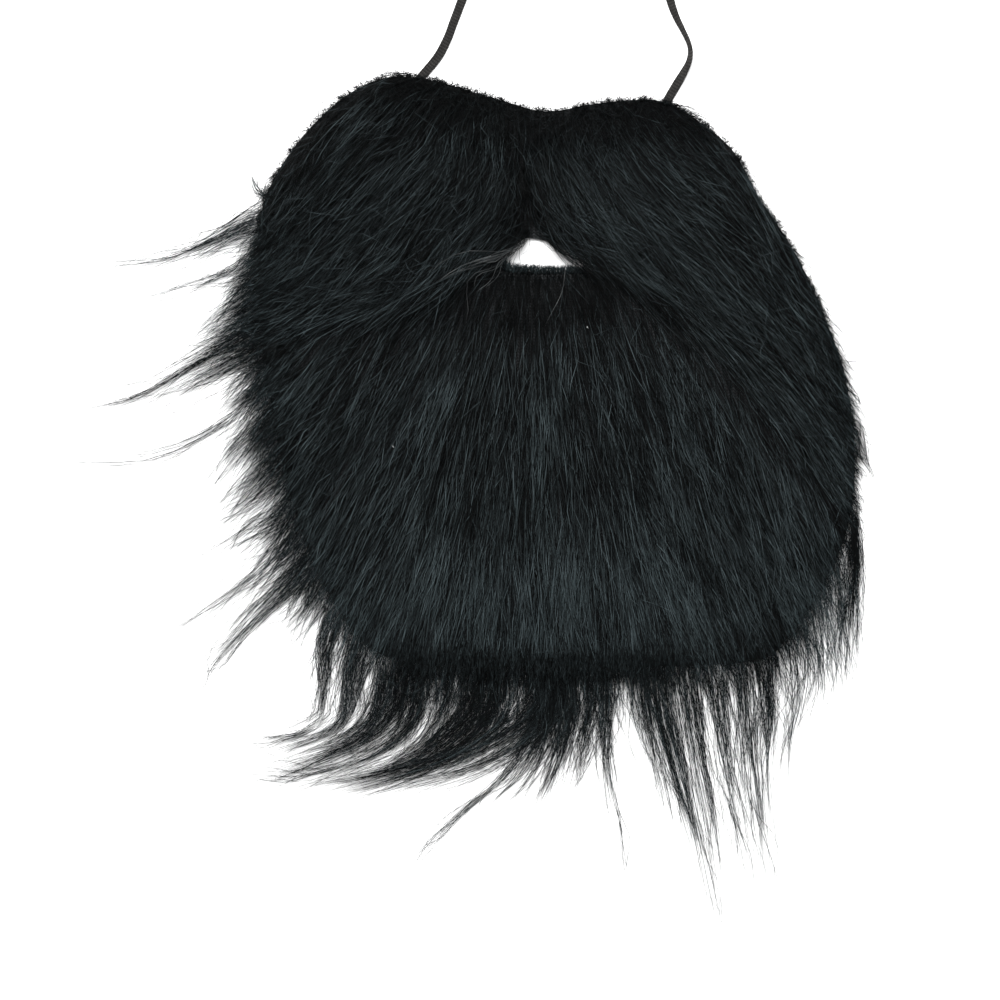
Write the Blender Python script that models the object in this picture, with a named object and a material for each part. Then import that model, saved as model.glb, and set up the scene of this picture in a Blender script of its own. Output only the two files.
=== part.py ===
"""Fake beard with moustache, cut from long-pile fur fabric, lying on the back of its cloth.

The knitted cloth is a flat panel with a slit for the mouth. Its pile is combed away from the
mouth and from a parting above it, and stands on the cloth as three bodies of locks: one each
side of the parting, and one for the cheeks and chin. Beyond the cloth's edge the locks hang
over it, run on along the surface and end in thin tips. A flat elastic is sewn under the two
humps of the top edge and makes one loop.

Frame: origin on the back of the cloth, in the middle of the upper lip. X runs across the face,
Y runs up it, and Z runs out of the cloth into the pile. Units are metres.
"""
import math

import bmesh
import bpy
from mathutils import Vector
from mathutils.geometry import intersect_point_line

# Cloth panel
CLOTH_WIDTH = 0.210
CLOTH_HEIGHT = 0.2065
CLOTH_THICKNESS = 0.0022
MOUTH_WIDTH = 0.0413
MOUTH_HEIGHT = 0.0122
MOUTH_DROP = 0.0277

# Pile
CHIN_PILE_DEPTH = 0.0105
CHEEK_PILE_DEPTH = 0.0115
FREE_LENGTH = 0.090
TIP_DEPTH = 0.0012
PILE_OVERHANG = 0.0010
LIP_SETBACK = 0.0006

# Flat elastic
STRAP_WIDTH = 0.0033
STRAP_THICKNESS = 0.0009
POCKET_LENGTH = 0.0135

# Clearances
SEAT_GAP = 0.0003
COMB_GAP = 0.0012

# Corners of a mesh nearer than this are one corner
WELD_REACH = 0.00001

# How finely the round shapes are divided
OUTLINE_POINTS = 96
MOUTH_POINTS = 32
STRAP_POINTS = 64
ROWS_ON_CLOTH = 9
ROWS_FREE = 5

# Cloth outline, clockwise from the dip over the upper lip.
# across, up: shares of CLOTH_WIDTH and CLOTH_HEIGHT from the upper lip.
CLOTH_OUTLINE = (
    (0.010, 0.110),
    (0.100, 0.124),
    (0.178, 0.130),
    (0.222, 0.119),
    (0.275, 0.086),
    (0.325, 0.040),
    (0.365, -0.035),
    (0.430, -0.137),
    (0.500, -0.305),
    (0.525, -0.450),
    (0.517, -0.590),
    (0.467, -0.705),
    (0.410, -0.790),
    (0.335, -0.828),
    (0.000, -0.836),
    (-0.190, -0.830),
    (-0.280, -0.805),
    (-0.342, -0.730),
    (-0.400, -0.600),
    (-0.445, -0.415),
    (-0.470, -0.195),
    (-0.463, -0.050),
    (-0.400, 0.063),
    (-0.308, 0.147),
    (-0.213, 0.169),
    (-0.067, 0.129),
)

# Mouth slit, from its left corner over the top to its right one, and back under it.
# across, up: shares of MOUTH_WIDTH and MOUTH_HEIGHT from the slit's centre.
MOUTH_OUTLINE = (
    (-0.50, -0.14),
    (-0.30, 0.23),
    (-0.11, 0.50),
    (0.16, 0.28),
    (0.50, -0.29),
    (0.29, -0.46),
    (0.00, -0.50),
    (-0.33, -0.42),
)

# Places on the cloth's edge, as shares of the way round it from the dip
PARTING_TOP = 0.987
LEFT_HUMP = 0.930
LEFT_EAR = 0.824
LEFT_SEAM = 0.754
RIGHT_HUMP = 0.064
RIGHT_EAR = 0.130
RIGHT_SEAM = 0.310

# Lines on the cloth between one body of locks and the next, after the end they start from.
# across, up: shares of CLOTH_WIDTH and CLOTH_HEIGHT from the upper lip.
PARTING = ((-0.036, -0.030),)
LEFT_SEAM_LINE = ((-0.185, -0.195), (-0.340, -0.240))
RIGHT_SEAM_LINE = ((0.267, -0.275), (0.425, -0.460))

# Locks, in order from the seam outwards.
# edge: where the lock leaves the cloth, as a share of the way round its edge.
# bow: how far its middle swings aside, as a share of its length on the cloth.
# bend, tip: places across and up from the cloth's edge, as shares of FREE_LENGTH.
# full: depth of the lock as a share of the pile's depth.
LEFT_MOUSTACHE_LOCKS = (
    # edge, bow, bend across, bend up, tip across, tip up, full
    (0.759, 0.02, -0.05, -0.02, -0.10, -0.05, 1.00),
    (0.768, 0.04, -0.11, -0.05, -0.25, -0.14, 0.92),
    (0.777, 0.06, -0.08, -0.04, -0.16, -0.09, 1.05),
    (0.786, 0.07, -0.05, -0.03, -0.11, -0.07, 0.95),
    (0.795, 0.08, -0.26, -0.06, -0.51, -0.14, 0.88),
    (0.803, 0.08, -0.30, -0.06, -0.61, -0.11, 1.00),
    (0.811, 0.07, -0.36, -0.08, -0.75, -0.12, 0.88),
    (0.819, 0.05, -0.04, -0.01, -0.09, -0.03, 0.76),
)
RIGHT_MOUSTACHE_LOCKS = (
    (0.301, 0.11, 0.04, -0.23, 0.02, -0.52, 1.00),
    (0.284, 0.11, 0.04, -0.06, 0.06, -0.12, 1.08),
    (0.266, 0.10, 0.03, -0.05, 0.06, -0.10, 0.94),
    (0.248, 0.09, 0.03, -0.04, 0.06, -0.09, 1.04),
    (0.230, 0.08, 0.03, -0.04, 0.06, -0.08, 0.90),
    (0.212, 0.07, 0.03, -0.03, 0.06, -0.06, 1.00),
    (0.194, 0.06, 0.03, -0.02, 0.06, -0.05, 0.92),
    (0.176, 0.05, 0.03, -0.02, 0.06, -0.04, 0.96),
    (0.158, 0.04, 0.03, -0.01, 0.05, -0.02, 0.86),
    (0.141, 0.03, 0.02, -0.01, 0.04, -0.02, 0.76),
)
BEARD_LOCKS = (
    (0.743, 0.08, -0.44, -0.16, -0.77, -0.20, 0.90),
    (0.725, 0.07, -0.42, -0.21, -0.93, -0.24, 1.00),
    (0.706, 0.06, -0.10, -0.08, -0.23, -0.21, 0.92),
    (0.688, 0.05, -0.16, -0.11, -0.34, -0.22, 1.02),
    (0.668, 0.05, -0.21, -0.23, -0.52, -0.49, 0.94),
    (0.646, 0.04, -0.19, -0.23, -0.43, -0.54, 1.00),
    (0.623, 0.04, -0.02, -0.24, -0.11, -0.49, 0.94),
    (0.603, 0.03, -0.01, -0.19, -0.06, -0.36, 0.99),
    (0.582, 0.03, -0.12, -0.25, -0.52, -0.37, 1.04),
    (0.556, 0.02, -0.18, -0.31, -0.69, -0.48, 0.98),
    (0.526, 0.01, -0.23, -0.34, -0.82, -0.56, 1.06),
    (0.503, 0.00, -0.13, -0.36, -0.45, -0.72, 0.96),
    (0.488, -0.01, -0.04, -0.32, -0.12, -0.58, 1.02),
    (0.470, -0.02, 0.01, -0.34, 0.05, -0.64, 0.94),
    (0.452, -0.03, 0.09, -0.35, 0.19, -0.75, 1.05),
    (0.436, -0.04, 0.09, -0.46, 0.21, -1.00, 0.97),
    (0.416, -0.05, 0.06, -0.38, 0.16, -0.77, 0.92),
    (0.396, -0.05, 0.04, -0.43, 0.07, -0.92, 0.96),
    (0.377, -0.05, 0.01, -0.22, 0.00, -0.46, 0.84),
    (0.359, -0.05, 0.01, -0.20, 0.00, -0.42, 0.90),
    (0.341, -0.05, 0.01, -0.26, 0.00, -0.50, 0.76),
    (0.323, -0.04, 0.00, -0.26, -0.01, -0.54, 0.80),
)

# Depth of the pile along a lock while it is on the cloth.
# along: share of that stretch from the root; depth: share of the pile's depth.
ROOT_TO_EDGE = ((0.0, 0.34), (0.12, 0.66), (0.40, 1.00), (0.80, 0.96), (1.0, 0.62))
VALLEY_DEPTH = 0.62
LOCK_SIDE_DEPTH = 0.35
TIP_TAPER = 0.85

# Route of the elastic's middle line, from its left sewn end round to its right one.
# across, up: metres; lean: degrees that the elastic is turned out of the flat.
STRAP_ROUTE = (
    (-0.0494, 0.0259, 0.0),
    (-0.0459, 0.0301, 0.0),
    (-0.0427, 0.0338, 0.0),
    (-0.0399, 0.0371, 0.0),
    (-0.0371, 0.0404, 5.0),
    (-0.0350, 0.0434, 15.0),
    (-0.0333, 0.0466, 25.0),
    (-0.0319, 0.0497, 30.0),
    (-0.0305, 0.0536, 30.0),
    (-0.0284, 0.0592, 25.0),
    (-0.0260, 0.0662, 15.0),
    (-0.0245, 0.0755, 5.0),
    (-0.0250, 0.0880, 0.0),
    (-0.0275, 0.1035, 0.0),
    (-0.0290, 0.1195, 0.0),
    (-0.0270, 0.1355, 0.0),
    (-0.0190, 0.1490, 0.0),
    (-0.0055, 0.1562, 0.0),
    (0.0095, 0.1578, 0.0),
    (0.0240, 0.1550, 0.0),
    (0.0365, 0.1468, 0.0),
    (0.0448, 0.1340, 0.0),
    (0.0475, 0.1185, 0.0),
    (0.0462, 0.1030, 0.0),
    (0.0445, 0.0880, 5.0),
    (0.0440, 0.0750, 15.0),
    (0.0448, 0.0670, 30.0),
    (0.0462, 0.0606, 45.0),
    (0.0480, 0.0557, 60.0),
    (0.0501, 0.0515, 72.0),
    (0.0518, 0.0480, 76.0),
    (0.0527, 0.0452, 76.0),
    (0.0528, 0.0424, 68.0),
    (0.0521, 0.0396, 56.0),
    (0.0505, 0.0364, 40.0),
    (0.0483, 0.0326, 15.0),
    (0.0458, 0.0284, 0.0),
    (0.0432, 0.0238, 0.0),
    (0.0409, 0.0198, 0.0),
    (0.0385, 0.0154, 0.0),
)

# Finishes: colour, roughness
PILE_BLACK = ((0.012, 0.016, 0.017), 0.46)
CLOTH_BLACK = ((0.010, 0.010, 0.011), 0.88)
ELASTIC_GREY = ((0.026, 0.024, 0.022), 0.72)

PILE_FLOOR = CLOTH_THICKNESS + SEAT_GAP


def clear_scene():
    for item in list(bpy.data.objects):
        bpy.data.objects.remove(item, do_unlink=True)


def new_collection(name):
    collection = bpy.data.collections.new(name)
    bpy.context.scene.collection.children.link(collection)
    return collection


def finish(name, look):
    """A plain finish of one colour and roughness, with no metal in it."""
    colour, roughness = look
    material = bpy.data.materials.new(name)
    material.use_nodes = True
    shader = material.node_tree.nodes["Principled BSDF"]
    shader.inputs["Base Color"].default_value = (*colour, 1.0)
    shader.inputs["Roughness"].default_value = roughness
    shader.inputs["Metallic"].default_value = 0.0
    material.diffuse_color = (*colour, 1.0)
    return material


def on_cloth(across, up):
    return Vector((across * CLOTH_WIDTH, up * CLOTH_HEIGHT))


def mouth_corners():
    """The corners of the mouth slit, in the order of their table."""
    return [Vector((across * MOUTH_WIDTH, up * MOUTH_HEIGHT - MOUTH_DROP)) for across, up in MOUTH_OUTLINE]


def blend_table(table, share):
    """Straight-line reading of a table of (place, value) rows."""
    for (place, value), (next_place, next_value) in zip(table, table[1:]):
        if share <= next_place:
            part = (share - place) / (next_place - place)
            return value + (next_value - value) * part
    return table[-1][1]


def smooth(points, share, closed=False):
    """The point at a share of the way along a smooth curve through the given points."""
    count = len(points)
    spans = count if closed else count - 1
    place = min(max(share, 0.0), 1.0) * spans
    span = min(int(place), spans - 1)
    part = place - span

    def point(index):
        if closed:
            return points[index % count]
        if index < 0:
            return points[0] * 2 - points[1]
        if index >= count:
            return points[-1] * 2 - points[-2]
        return points[index]

    before, start, end, after = (point(span + step) for step in (-1, 0, 1, 2))
    leave = (end - before) / 2
    arrive = (after - start) / 2
    rest = 1 - part
    return (start * (1 + 2 * part) * rest ** 2 + leave * part * rest ** 2
            + end * part ** 2 * (3 - 2 * part) - arrive * part ** 2 * rest)


def swing(start, middle, end, share):
    """A point of the one even curve through three points."""
    handle = middle * 2 - (start + end) / 2
    rest = 1 - share
    return start * rest ** 2 + handle * 2 * share * rest + end * share ** 2


def left_hand(direction):
    """The unit vector a quarter turn to the left of a direction in the plane."""
    return Vector((-direction.y, direction.x)).normalized()


class Edge:
    """The cloth's edge, measured by the share of the way round from the dip, clockwise."""

    def __init__(self, rows, count):
        corners = [on_cloth(across, up) for across, up in rows]
        self.points = [smooth(corners, step / count, closed=True) for step in range(count)]
        self.lengths = [0.0]
        for start, end in zip(self.points, self.points[1:] + self.points[:1]):
            self.lengths.append(self.lengths[-1] + (end - start).length)

    def at(self, share, outset=0.0):
        goal = (share % 1.0) * self.lengths[-1]
        count = len(self.points)
        span = max(index for index in range(count) if self.lengths[index] <= goal)
        start = self.points[span]
        end = self.points[(span + 1) % count]
        part = (goal - self.lengths[span]) / (self.lengths[span + 1] - self.lengths[span])
        return start.lerp(end, part) + left_hand(end - start) * outset

    def carries(self, point):
        """Whether a point lies over the cloth or right at its edge."""
        inside = False
        for start, end in zip(self.points, self.points[1:] + self.points[:1]):
            near, part = intersect_point_line(point, start, end)
            if 0.0 <= part <= 1.0 and (near.xy - point).length < COMB_GAP / 2:
                return True
            if (start.y > point.y) != (end.y > point.y):
                crossing = start.x + (end.x - start.x) * (point.y - start.y) / (end.y - start.y)
                inside = inside != (crossing > point.x)
        return inside

    def stretch(self, start, end, count, outset):
        """Evenly spaced points of the edge from one share to another."""
        return [self.at(start + (end - start) * step / count, outset) for step in range(count + 1)]


def beside(points, offset):
    """A line of points moved sideways, to the left of its own direction."""
    moved = []
    for index, point in enumerate(points):
        ahead = points[min(index + 1, len(points) - 1)]
        behind = points[max(index - 1, 0)]
        moved.append(point + left_hand(ahead - behind) * offset)
    return moved


def flat_panel(name, outlines, thickness, material, collection):
    """A flat panel between closed outlines, with its back at z = 0."""
    curve = bpy.data.curves.new(name, "CURVE")
    curve.dimensions = "2D"
    curve.fill_mode = "BOTH"
    curve.extrude = thickness / 2
    curve.render_resolution_u = 0
    for outline in outlines:
        spline = curve.splines.new("POLY")
        spline.points.add(len(outline) - 1)
        for target, point in zip(spline.points, outline):
            target.co = (point.x, point.y, 0.0, 1.0)
        spline.use_cyclic_u = True
    holder = bpy.data.objects.new(name + "_outline", curve)
    holder.location.z = thickness / 2
    collection.objects.link(holder)
    return as_mesh(holder, name, material, collection)


def as_mesh(holder, name, material, collection):
    """The mesh of a curve object, welded at its caps, in the curve's place."""
    bpy.context.view_layer.update()
    graph = bpy.context.evaluated_depsgraph_get()
    mesh = bpy.data.meshes.new_from_object(holder.evaluated_get(graph))
    body = bpy.data.objects.new(name, mesh)
    body.matrix_world = holder.matrix_world
    collection.objects.link(body)
    bpy.data.objects.remove(holder, do_unlink=True)
    shell = bmesh.new()
    shell.from_mesh(mesh)
    bmesh.ops.remove_doubles(shell, verts=shell.verts, dist=WELD_REACH)
    bmesh.ops.recalc_face_normals(shell, faces=shell.faces)
    shell.to_mesh(mesh)
    shell.free()
    mesh.name = name
    mesh.materials.clear()
    mesh.materials.append(material)
    return body


def strap_pocket(end, onward, cutters):
    """A cutter for the hollow under the cloth that takes one sewn end of the elastic."""
    along = onward - end
    bpy.ops.mesh.primitive_cube_add(size=1.0)
    cutter = bpy.context.object
    cutter.name = "strap_pocket_cutter"
    depth = STRAP_THICKNESS + SEAT_GAP
    cutter.scale = (POCKET_LENGTH + SEAT_GAP, STRAP_WIDTH + 2 * SEAT_GAP, 2 * depth)
    middle = end + along.normalized() * (POCKET_LENGTH - SEAT_GAP) / 2
    cutter.location = (middle.x, middle.y, 0.0)
    cutter.rotation_euler.z = math.atan2(along.y, along.x)
    cutter.hide_render = True
    cutter.display_type = "WIRE"
    for owner in list(cutter.users_collection):
        owner.objects.unlink(cutter)
    cutters.objects.link(cutter)
    return cutter


def make_cloth(edge, collection, cutters):
    corners = mouth_corners()
    mouth = [smooth(corners, step / MOUTH_POINTS, closed=True) for step in range(MOUTH_POINTS)]
    material = finish("knitted_cloth", CLOTH_BLACK)
    cloth = flat_panel("backing_cloth", (edge.points, mouth), CLOTH_THICKNESS, material, collection)
    route = [Vector(row[:2]) for row in STRAP_ROUTE]
    for end, onward in ((route[0], route[1]), (route[-1], route[-2])):
        cut = cloth.modifiers.new("strap_pocket", "BOOLEAN")
        cut.operation = "DIFFERENCE"
        cut.solver = "EXACT"
        cut.object = strap_pocket(end, onward, cutters)
    return cloth


def lock_line(root, leave, bow, bend, tip):
    """A lock's middle line: its points on the cloth, then those of its free end."""
    along = leave - root
    middle = root + along / 2 + left_hand(along) * along.length * bow
    on_rows = [swing(root, middle, leave, row / ROWS_ON_CLOTH) for row in range(ROWS_ON_CLOTH + 1)]
    end = leave + tip
    free_rows = [swing(leave, leave + bend, end, (row + 1) / ROWS_FREE) for row in range(ROWS_FREE)]
    return on_rows, free_rows


def make_comb(name, near_side, far_side, roots, lines, fulls, edge, depth, material, collection):
    """One closed body of locks lying side by side.

    The locks' plan is laid out first: on the cloth each shares its sides with its neighbours,
    and past the cloth's edge it narrows to its own tip. The plan is then drawn up into a body,
    whose underside is clear of the cloth and comes down to the surface beyond it.
    """
    shape = bmesh.new()
    height = shape.verts.layers.float.new("height")

    def vertex(point, high):
        made = shape.verts.new((point.x, point.y, 0.0))
        made[height] = high
        return made

    def depth_on_cloth(row):
        return depth * blend_table(ROOT_TO_EDGE, row / ROWS_ON_CLOTH)

    def column(points, full):
        return [vertex(point, depth_on_cloth(row) * full) for row, point in enumerate(points)]

    def fill(left, right):
        for row in range(len(left) - 1):
            shape.faces.new((left[row], left[row + 1], right[row + 1], right[row]))

    ridges = [on_rows for on_rows, free_rows in lines]
    sides = [near_side]
    for root, (ridge, next_ridge) in zip(roots, zip(ridges, ridges[1:])):
        sides.append([root] + [(a + b) / 2 for a, b in zip(ridge[1:], next_ridge[1:])])
    sides.append(far_side)
    side_columns = [column(side, VALLEY_DEPTH) for side in sides]
    for number, (on_rows, free_rows) in enumerate(lines):
        full = fulls[number]
        ridge = column(on_rows, full)
        left, right = side_columns[number], side_columns[number + 1]
        fill(left, ridge)
        fill(ridge, right)
        line = [on_rows[-1]] + free_rows
        start_way = (line[1] - line[0]).normalized()
        start_left = left_hand(start_way)
        reach = [Vector(side[-1].co.xy) - line[0] for side in (left, right)]
        strands = [[left[-1]], [ridge[-1]], [right[-1]]]
        hem_depth = depth_on_cloth(ROWS_ON_CLOTH) * full
        for row in range(1, ROWS_FREE):
            share = row / ROWS_FREE
            way = (line[row + 1] - line[row - 1]).normalized()
            narrow = (1 - share) ** TIP_TAPER
            high = TIP_DEPTH + (hem_depth - TIP_DEPTH) * (1 - share) ** 2
            strands[1].append(vertex(line[row], high))
            for strand, offset in zip((strands[0], strands[2]), reach):
                across = offset.dot(start_left) * narrow
                along = offset.dot(start_way) * narrow
                place = line[row] + left_hand(way) * across + way * along
                strand.append(vertex(place, high * LOCK_SIDE_DEPTH))
        fill(strands[0], strands[1])
        fill(strands[1], strands[2])
        tip = vertex(line[-1], TIP_DEPTH / 2)
        shape.faces.new((strands[0][-1], tip, strands[1][-1]))
        shape.faces.new((strands[1][-1], tip, strands[2][-1]))

    for face in shape.faces:
        if any(edge.carries(corner.co.xy) for corner in face.verts):
            for corner in face.verts:
                corner.co.z = PILE_FLOOR
    drawn = bmesh.ops.extrude_face_region(shape, geom=shape.faces[:])
    for item in drawn["geom"]:
        if isinstance(item, bmesh.types.BMVert):
            item.co.z += item[height]
    bmesh.ops.recalc_face_normals(shape, faces=shape.faces)
    mesh = bpy.data.meshes.new(name)
    shape.to_mesh(mesh)
    shape.free()
    mesh.materials.append(material)
    body = bpy.data.objects.new(name, mesh)
    collection.objects.link(body)
    return body


def spread(points, count):
    """Evenly spaced places along a line of points, the first and last of them at its ends."""
    lengths = [0.0]
    for start, end in zip(points, points[1:]):
        lengths.append(lengths[-1] + (end - start).length)
    places = []
    for step in range(count + 1):
        goal = lengths[-1] * step / count
        span = max(index for index in range(len(points) - 1) if lengths[index] <= goal)
        part = (goal - lengths[span]) / (lengths[span + 1] - lengths[span])
        places.append(points[span].lerp(points[span + 1], part))
    return places


def seam(corner, line, end, count):
    """Points from a place on the mouth's edge across the cloth to the cloth's own edge."""
    curve = [corner] + [on_cloth(*row) for row in line] + [end]
    return [smooth(curve, step / count) for step in range(count + 1)]


def comb_from(name, near_side, far_side, root_line, rows, edge, depth, material, collection):
    """A comb whose locks start evenly spaced along a line and leave the cloth as a table says."""
    places = spread(root_line, 2 * len(rows))
    lines = []
    for root, (leave, bow, bend_x, bend_y, tip_x, tip_y, full) in zip(places[1::2], rows):
        bend = Vector((bend_x, bend_y)) * FREE_LENGTH
        tip = Vector((tip_x, tip_y)) * FREE_LENGTH
        lines.append(lock_line(root, edge.at(leave, PILE_OVERHANG), bow, bend, tip))
    fulls = [row[-1] for row in rows]
    side_roots = places[2:-1:2]
    return make_comb(name, near_side, far_side, side_roots, lines, fulls, edge, depth,
                     material, collection)


def make_pile(edge, collection):
    fur = finish("long_pile", PILE_BLACK)
    last = ROWS_ON_CLOTH
    corners = mouth_corners()
    left_corner = corners[0]
    right_corner = max(corners, key=lambda corner: corner.x)
    mouth_top = max(corners, key=lambda corner: corner.y) + Vector((0.0, LIP_SETBACK))
    left_end = edge.at(LEFT_SEAM, PILE_OVERHANG)
    right_end = edge.at(RIGHT_SEAM, PILE_OVERHANG)
    parting = seam(mouth_top, PARTING, edge.at(PARTING_TOP, PILE_OVERHANG), last)

    left_seam = beside(seam(left_corner, LEFT_SEAM_LINE, left_end, last - 1), -COMB_GAP / 2)
    near_side = [parting[0] - Vector((COMB_GAP / 2, 0.0))] + left_seam
    far_side = edge.stretch(LEFT_HUMP, LEFT_EAR, last, PILE_OVERHANG)
    root_line = beside(parting, COMB_GAP / 2) + edge.stretch(PARTING_TOP, LEFT_HUMP, last, PILE_OVERHANG)[1:]
    rows = LEFT_MOUSTACHE_LOCKS
    comb_from("moustache_fur_left", near_side, far_side, root_line, rows, edge,
              CHEEK_PILE_DEPTH, fur, collection)

    right_seam = beside(seam(right_corner, RIGHT_SEAM_LINE, right_end, last - 1), COMB_GAP / 2)
    near_side = [parting[0] + Vector((COMB_GAP / 2, 0.0))] + right_seam
    far_side = edge.stretch(RIGHT_HUMP, RIGHT_EAR, last, PILE_OVERHANG)
    top_edge = edge.stretch(PARTING_TOP - 1.0, RIGHT_HUMP, last, PILE_OVERHANG)
    root_line = beside(parting, -COMB_GAP / 2) + top_edge[1:]
    rows = RIGHT_MOUSTACHE_LOCKS
    comb_from("moustache_fur_right", near_side, far_side, root_line, rows, edge,
              CHEEK_PILE_DEPTH, fur, collection)

    near_side = beside(seam(left_corner, LEFT_SEAM_LINE, left_end, last), COMB_GAP / 2)
    far_side = beside(seam(right_corner, RIGHT_SEAM_LINE, right_end, last), -COMB_GAP / 2)
    under = corners[corners.index(right_corner):] + [left_corner]
    lower_lip = beside(under[::-1], -LIP_SETBACK)
    rows = BEARD_LOCKS
    comb_from("beard_fur", near_side, far_side, lower_lip, rows, edge,
              CHIN_PILE_DEPTH, fur, collection)


def make_strap(collection):
    """The elastic as a ribbon along its route, lying on its flat or leaning where it twists."""
    route = [Vector(row) for row in STRAP_ROUTE]
    curve = bpy.data.curves.new("elastic_strap", "CURVE")
    curve.dimensions = "3D"
    curve.twist_mode = "Z_UP"
    curve.extrude = (STRAP_WIDTH - STRAP_THICKNESS) / 2
    curve.bevel_depth = STRAP_THICKNESS / 2
    curve.bevel_resolution = 1
    curve.use_fill_caps = True
    curve.render_resolution_u = 0
    spline = curve.splines.new("POLY")
    spline.points.add(STRAP_POINTS - 1)
    for step, target in enumerate(spline.points):
        across, up, lean = smooth(route, step / (STRAP_POINTS - 1))
        turned = math.radians(max(lean, 0.0))
        flat_half = curve.extrude * math.sin(turned)
        target.co = (across, up, STRAP_THICKNESS / 2 + flat_half, 1.0)
        target.tilt = math.pi / 2 - turned
    holder = bpy.data.objects.new("elastic_strap_route", curve)
    collection.objects.link(holder)
    return as_mesh(holder, "elastic_strap", finish("flat_elastic", ELASTIC_GREY), collection)


def main():
    clear_scene()
    parts = new_collection("fake_beard")
    cutters = new_collection("cutters")
    edge = Edge(CLOTH_OUTLINE, OUTLINE_POINTS)
    make_cloth(edge, parts, cutters)
    make_pile(edge, parts)
    make_strap(parts)


main()
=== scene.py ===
"""Looks for a fake beard with a moustache, cut from long-pile fur fabric.

The pile is laid hair by hair along the lines it is combed in: away from the mouth, away from the
parting above it, and out over the edge of the cloth, where the longest hairs gather into wisps.
A flat braided elastic is sewn under the two humps of the top edge.

All sizes are in metres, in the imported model's frame: the cloth lies on the floor, X runs across
the face, Y runs up it, and Z runs out of the cloth through the pile.
"""
import math

import bmesh
import bpy
import numpy as np
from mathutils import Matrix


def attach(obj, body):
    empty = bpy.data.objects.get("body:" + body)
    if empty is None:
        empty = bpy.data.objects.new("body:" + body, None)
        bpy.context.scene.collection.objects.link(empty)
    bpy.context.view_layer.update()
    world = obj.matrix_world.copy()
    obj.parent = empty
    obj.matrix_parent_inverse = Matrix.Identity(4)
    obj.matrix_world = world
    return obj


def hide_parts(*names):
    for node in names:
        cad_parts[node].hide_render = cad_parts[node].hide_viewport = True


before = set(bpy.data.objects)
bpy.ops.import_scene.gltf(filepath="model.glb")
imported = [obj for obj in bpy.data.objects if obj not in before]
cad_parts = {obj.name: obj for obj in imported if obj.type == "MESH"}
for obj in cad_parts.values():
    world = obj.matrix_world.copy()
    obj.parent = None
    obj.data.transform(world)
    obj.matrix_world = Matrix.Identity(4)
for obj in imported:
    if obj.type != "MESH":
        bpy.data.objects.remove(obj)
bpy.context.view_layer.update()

# Cloth, pile and elastic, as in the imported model
CLOTH_WIDTH = 0.210
CLOTH_HEIGHT = 0.2065
CLOTH_THICKNESS = 0.0022
MOUTH_WIDTH = 0.0413
MOUTH_HEIGHT = 0.0122
MOUTH_DROP = 0.0277
CHIN_PILE_DEPTH = 0.0105
CHEEK_PILE_DEPTH = 0.0115
STRAP_WIDTH = 0.0033
STRAP_THICKNESS = 0.0009

# Cloth outline, clockwise from the dip over the upper lip, in shares of its width and height
CLOTH_OUTLINE = (
    (0.010, 0.110), (0.100, 0.124), (0.178, 0.130), (0.222, 0.119), (0.275, 0.086),
    (0.325, 0.040), (0.365, -0.035), (0.430, -0.137), (0.500, -0.305), (0.525, -0.450),
    (0.517, -0.590), (0.467, -0.705), (0.410, -0.790), (0.335, -0.828), (0.000, -0.836),
    (-0.190, -0.830), (-0.280, -0.805), (-0.342, -0.730), (-0.400, -0.600), (-0.445, -0.415),
    (-0.470, -0.195), (-0.463, -0.050), (-0.400, 0.063), (-0.308, 0.147), (-0.213, 0.169),
    (-0.067, 0.129),
)

# Mouth slit, from its left corner over the top to its right one and back under it,
# in shares of its width and height from its centre
MOUTH_OUTLINE = (
    (-0.50, -0.14), (-0.30, 0.23), (-0.11, 0.50), (0.16, 0.28),
    (0.50, -0.29), (0.29, -0.46), (0.00, -0.50), (-0.33, -0.42),
)

# Places on the cloth's edge, as shares of the way round it from the dip
PARTING_TOP = 0.987
LEFT_HUMP = 0.930
LEFT_EAR = 0.824
LEFT_SEAM = 0.754
RIGHT_HUMP = 0.064
RIGHT_COMB_END = 0.200
RIGHT_SEAM = 0.310

# Lines between one stretch of pile and the next, in shares of the cloth's width and height
PARTING = ((-0.036, -0.030),)
LEFT_SEAM_LINE = ((-0.185, -0.195), (-0.340, -0.240))
RIGHT_SEAM_LINE = ((0.267, -0.275), (0.425, -0.460))

# Lines the beard is combed along. Each starts from 0 to 1 along the left seam towards the mouth,
# from 1 to 2 along the lower lip or from 2 to 3 along the right seam, and leaves the cloth at a
# share of the way round its edge.
CHIN_LINES = (
    (0.03, 0.750), (0.12, 0.743), (0.32, 0.725), (0.50, 0.706), (0.67, 0.688), (0.84, 0.668),
    (0.98, 0.646), (1.06, 0.623), (1.13, 0.603), (1.21, 0.582), (1.29, 0.556), (1.39, 0.526),
    (1.47, 0.503), (1.53, 0.488), (1.60, 0.470), (1.68, 0.452), (1.76, 0.436), (1.87, 0.416),
    (2.00, 0.396), (2.16, 0.377), (2.32, 0.359), (2.52, 0.341), (2.74, 0.323), (2.92, 0.313),
)

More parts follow.
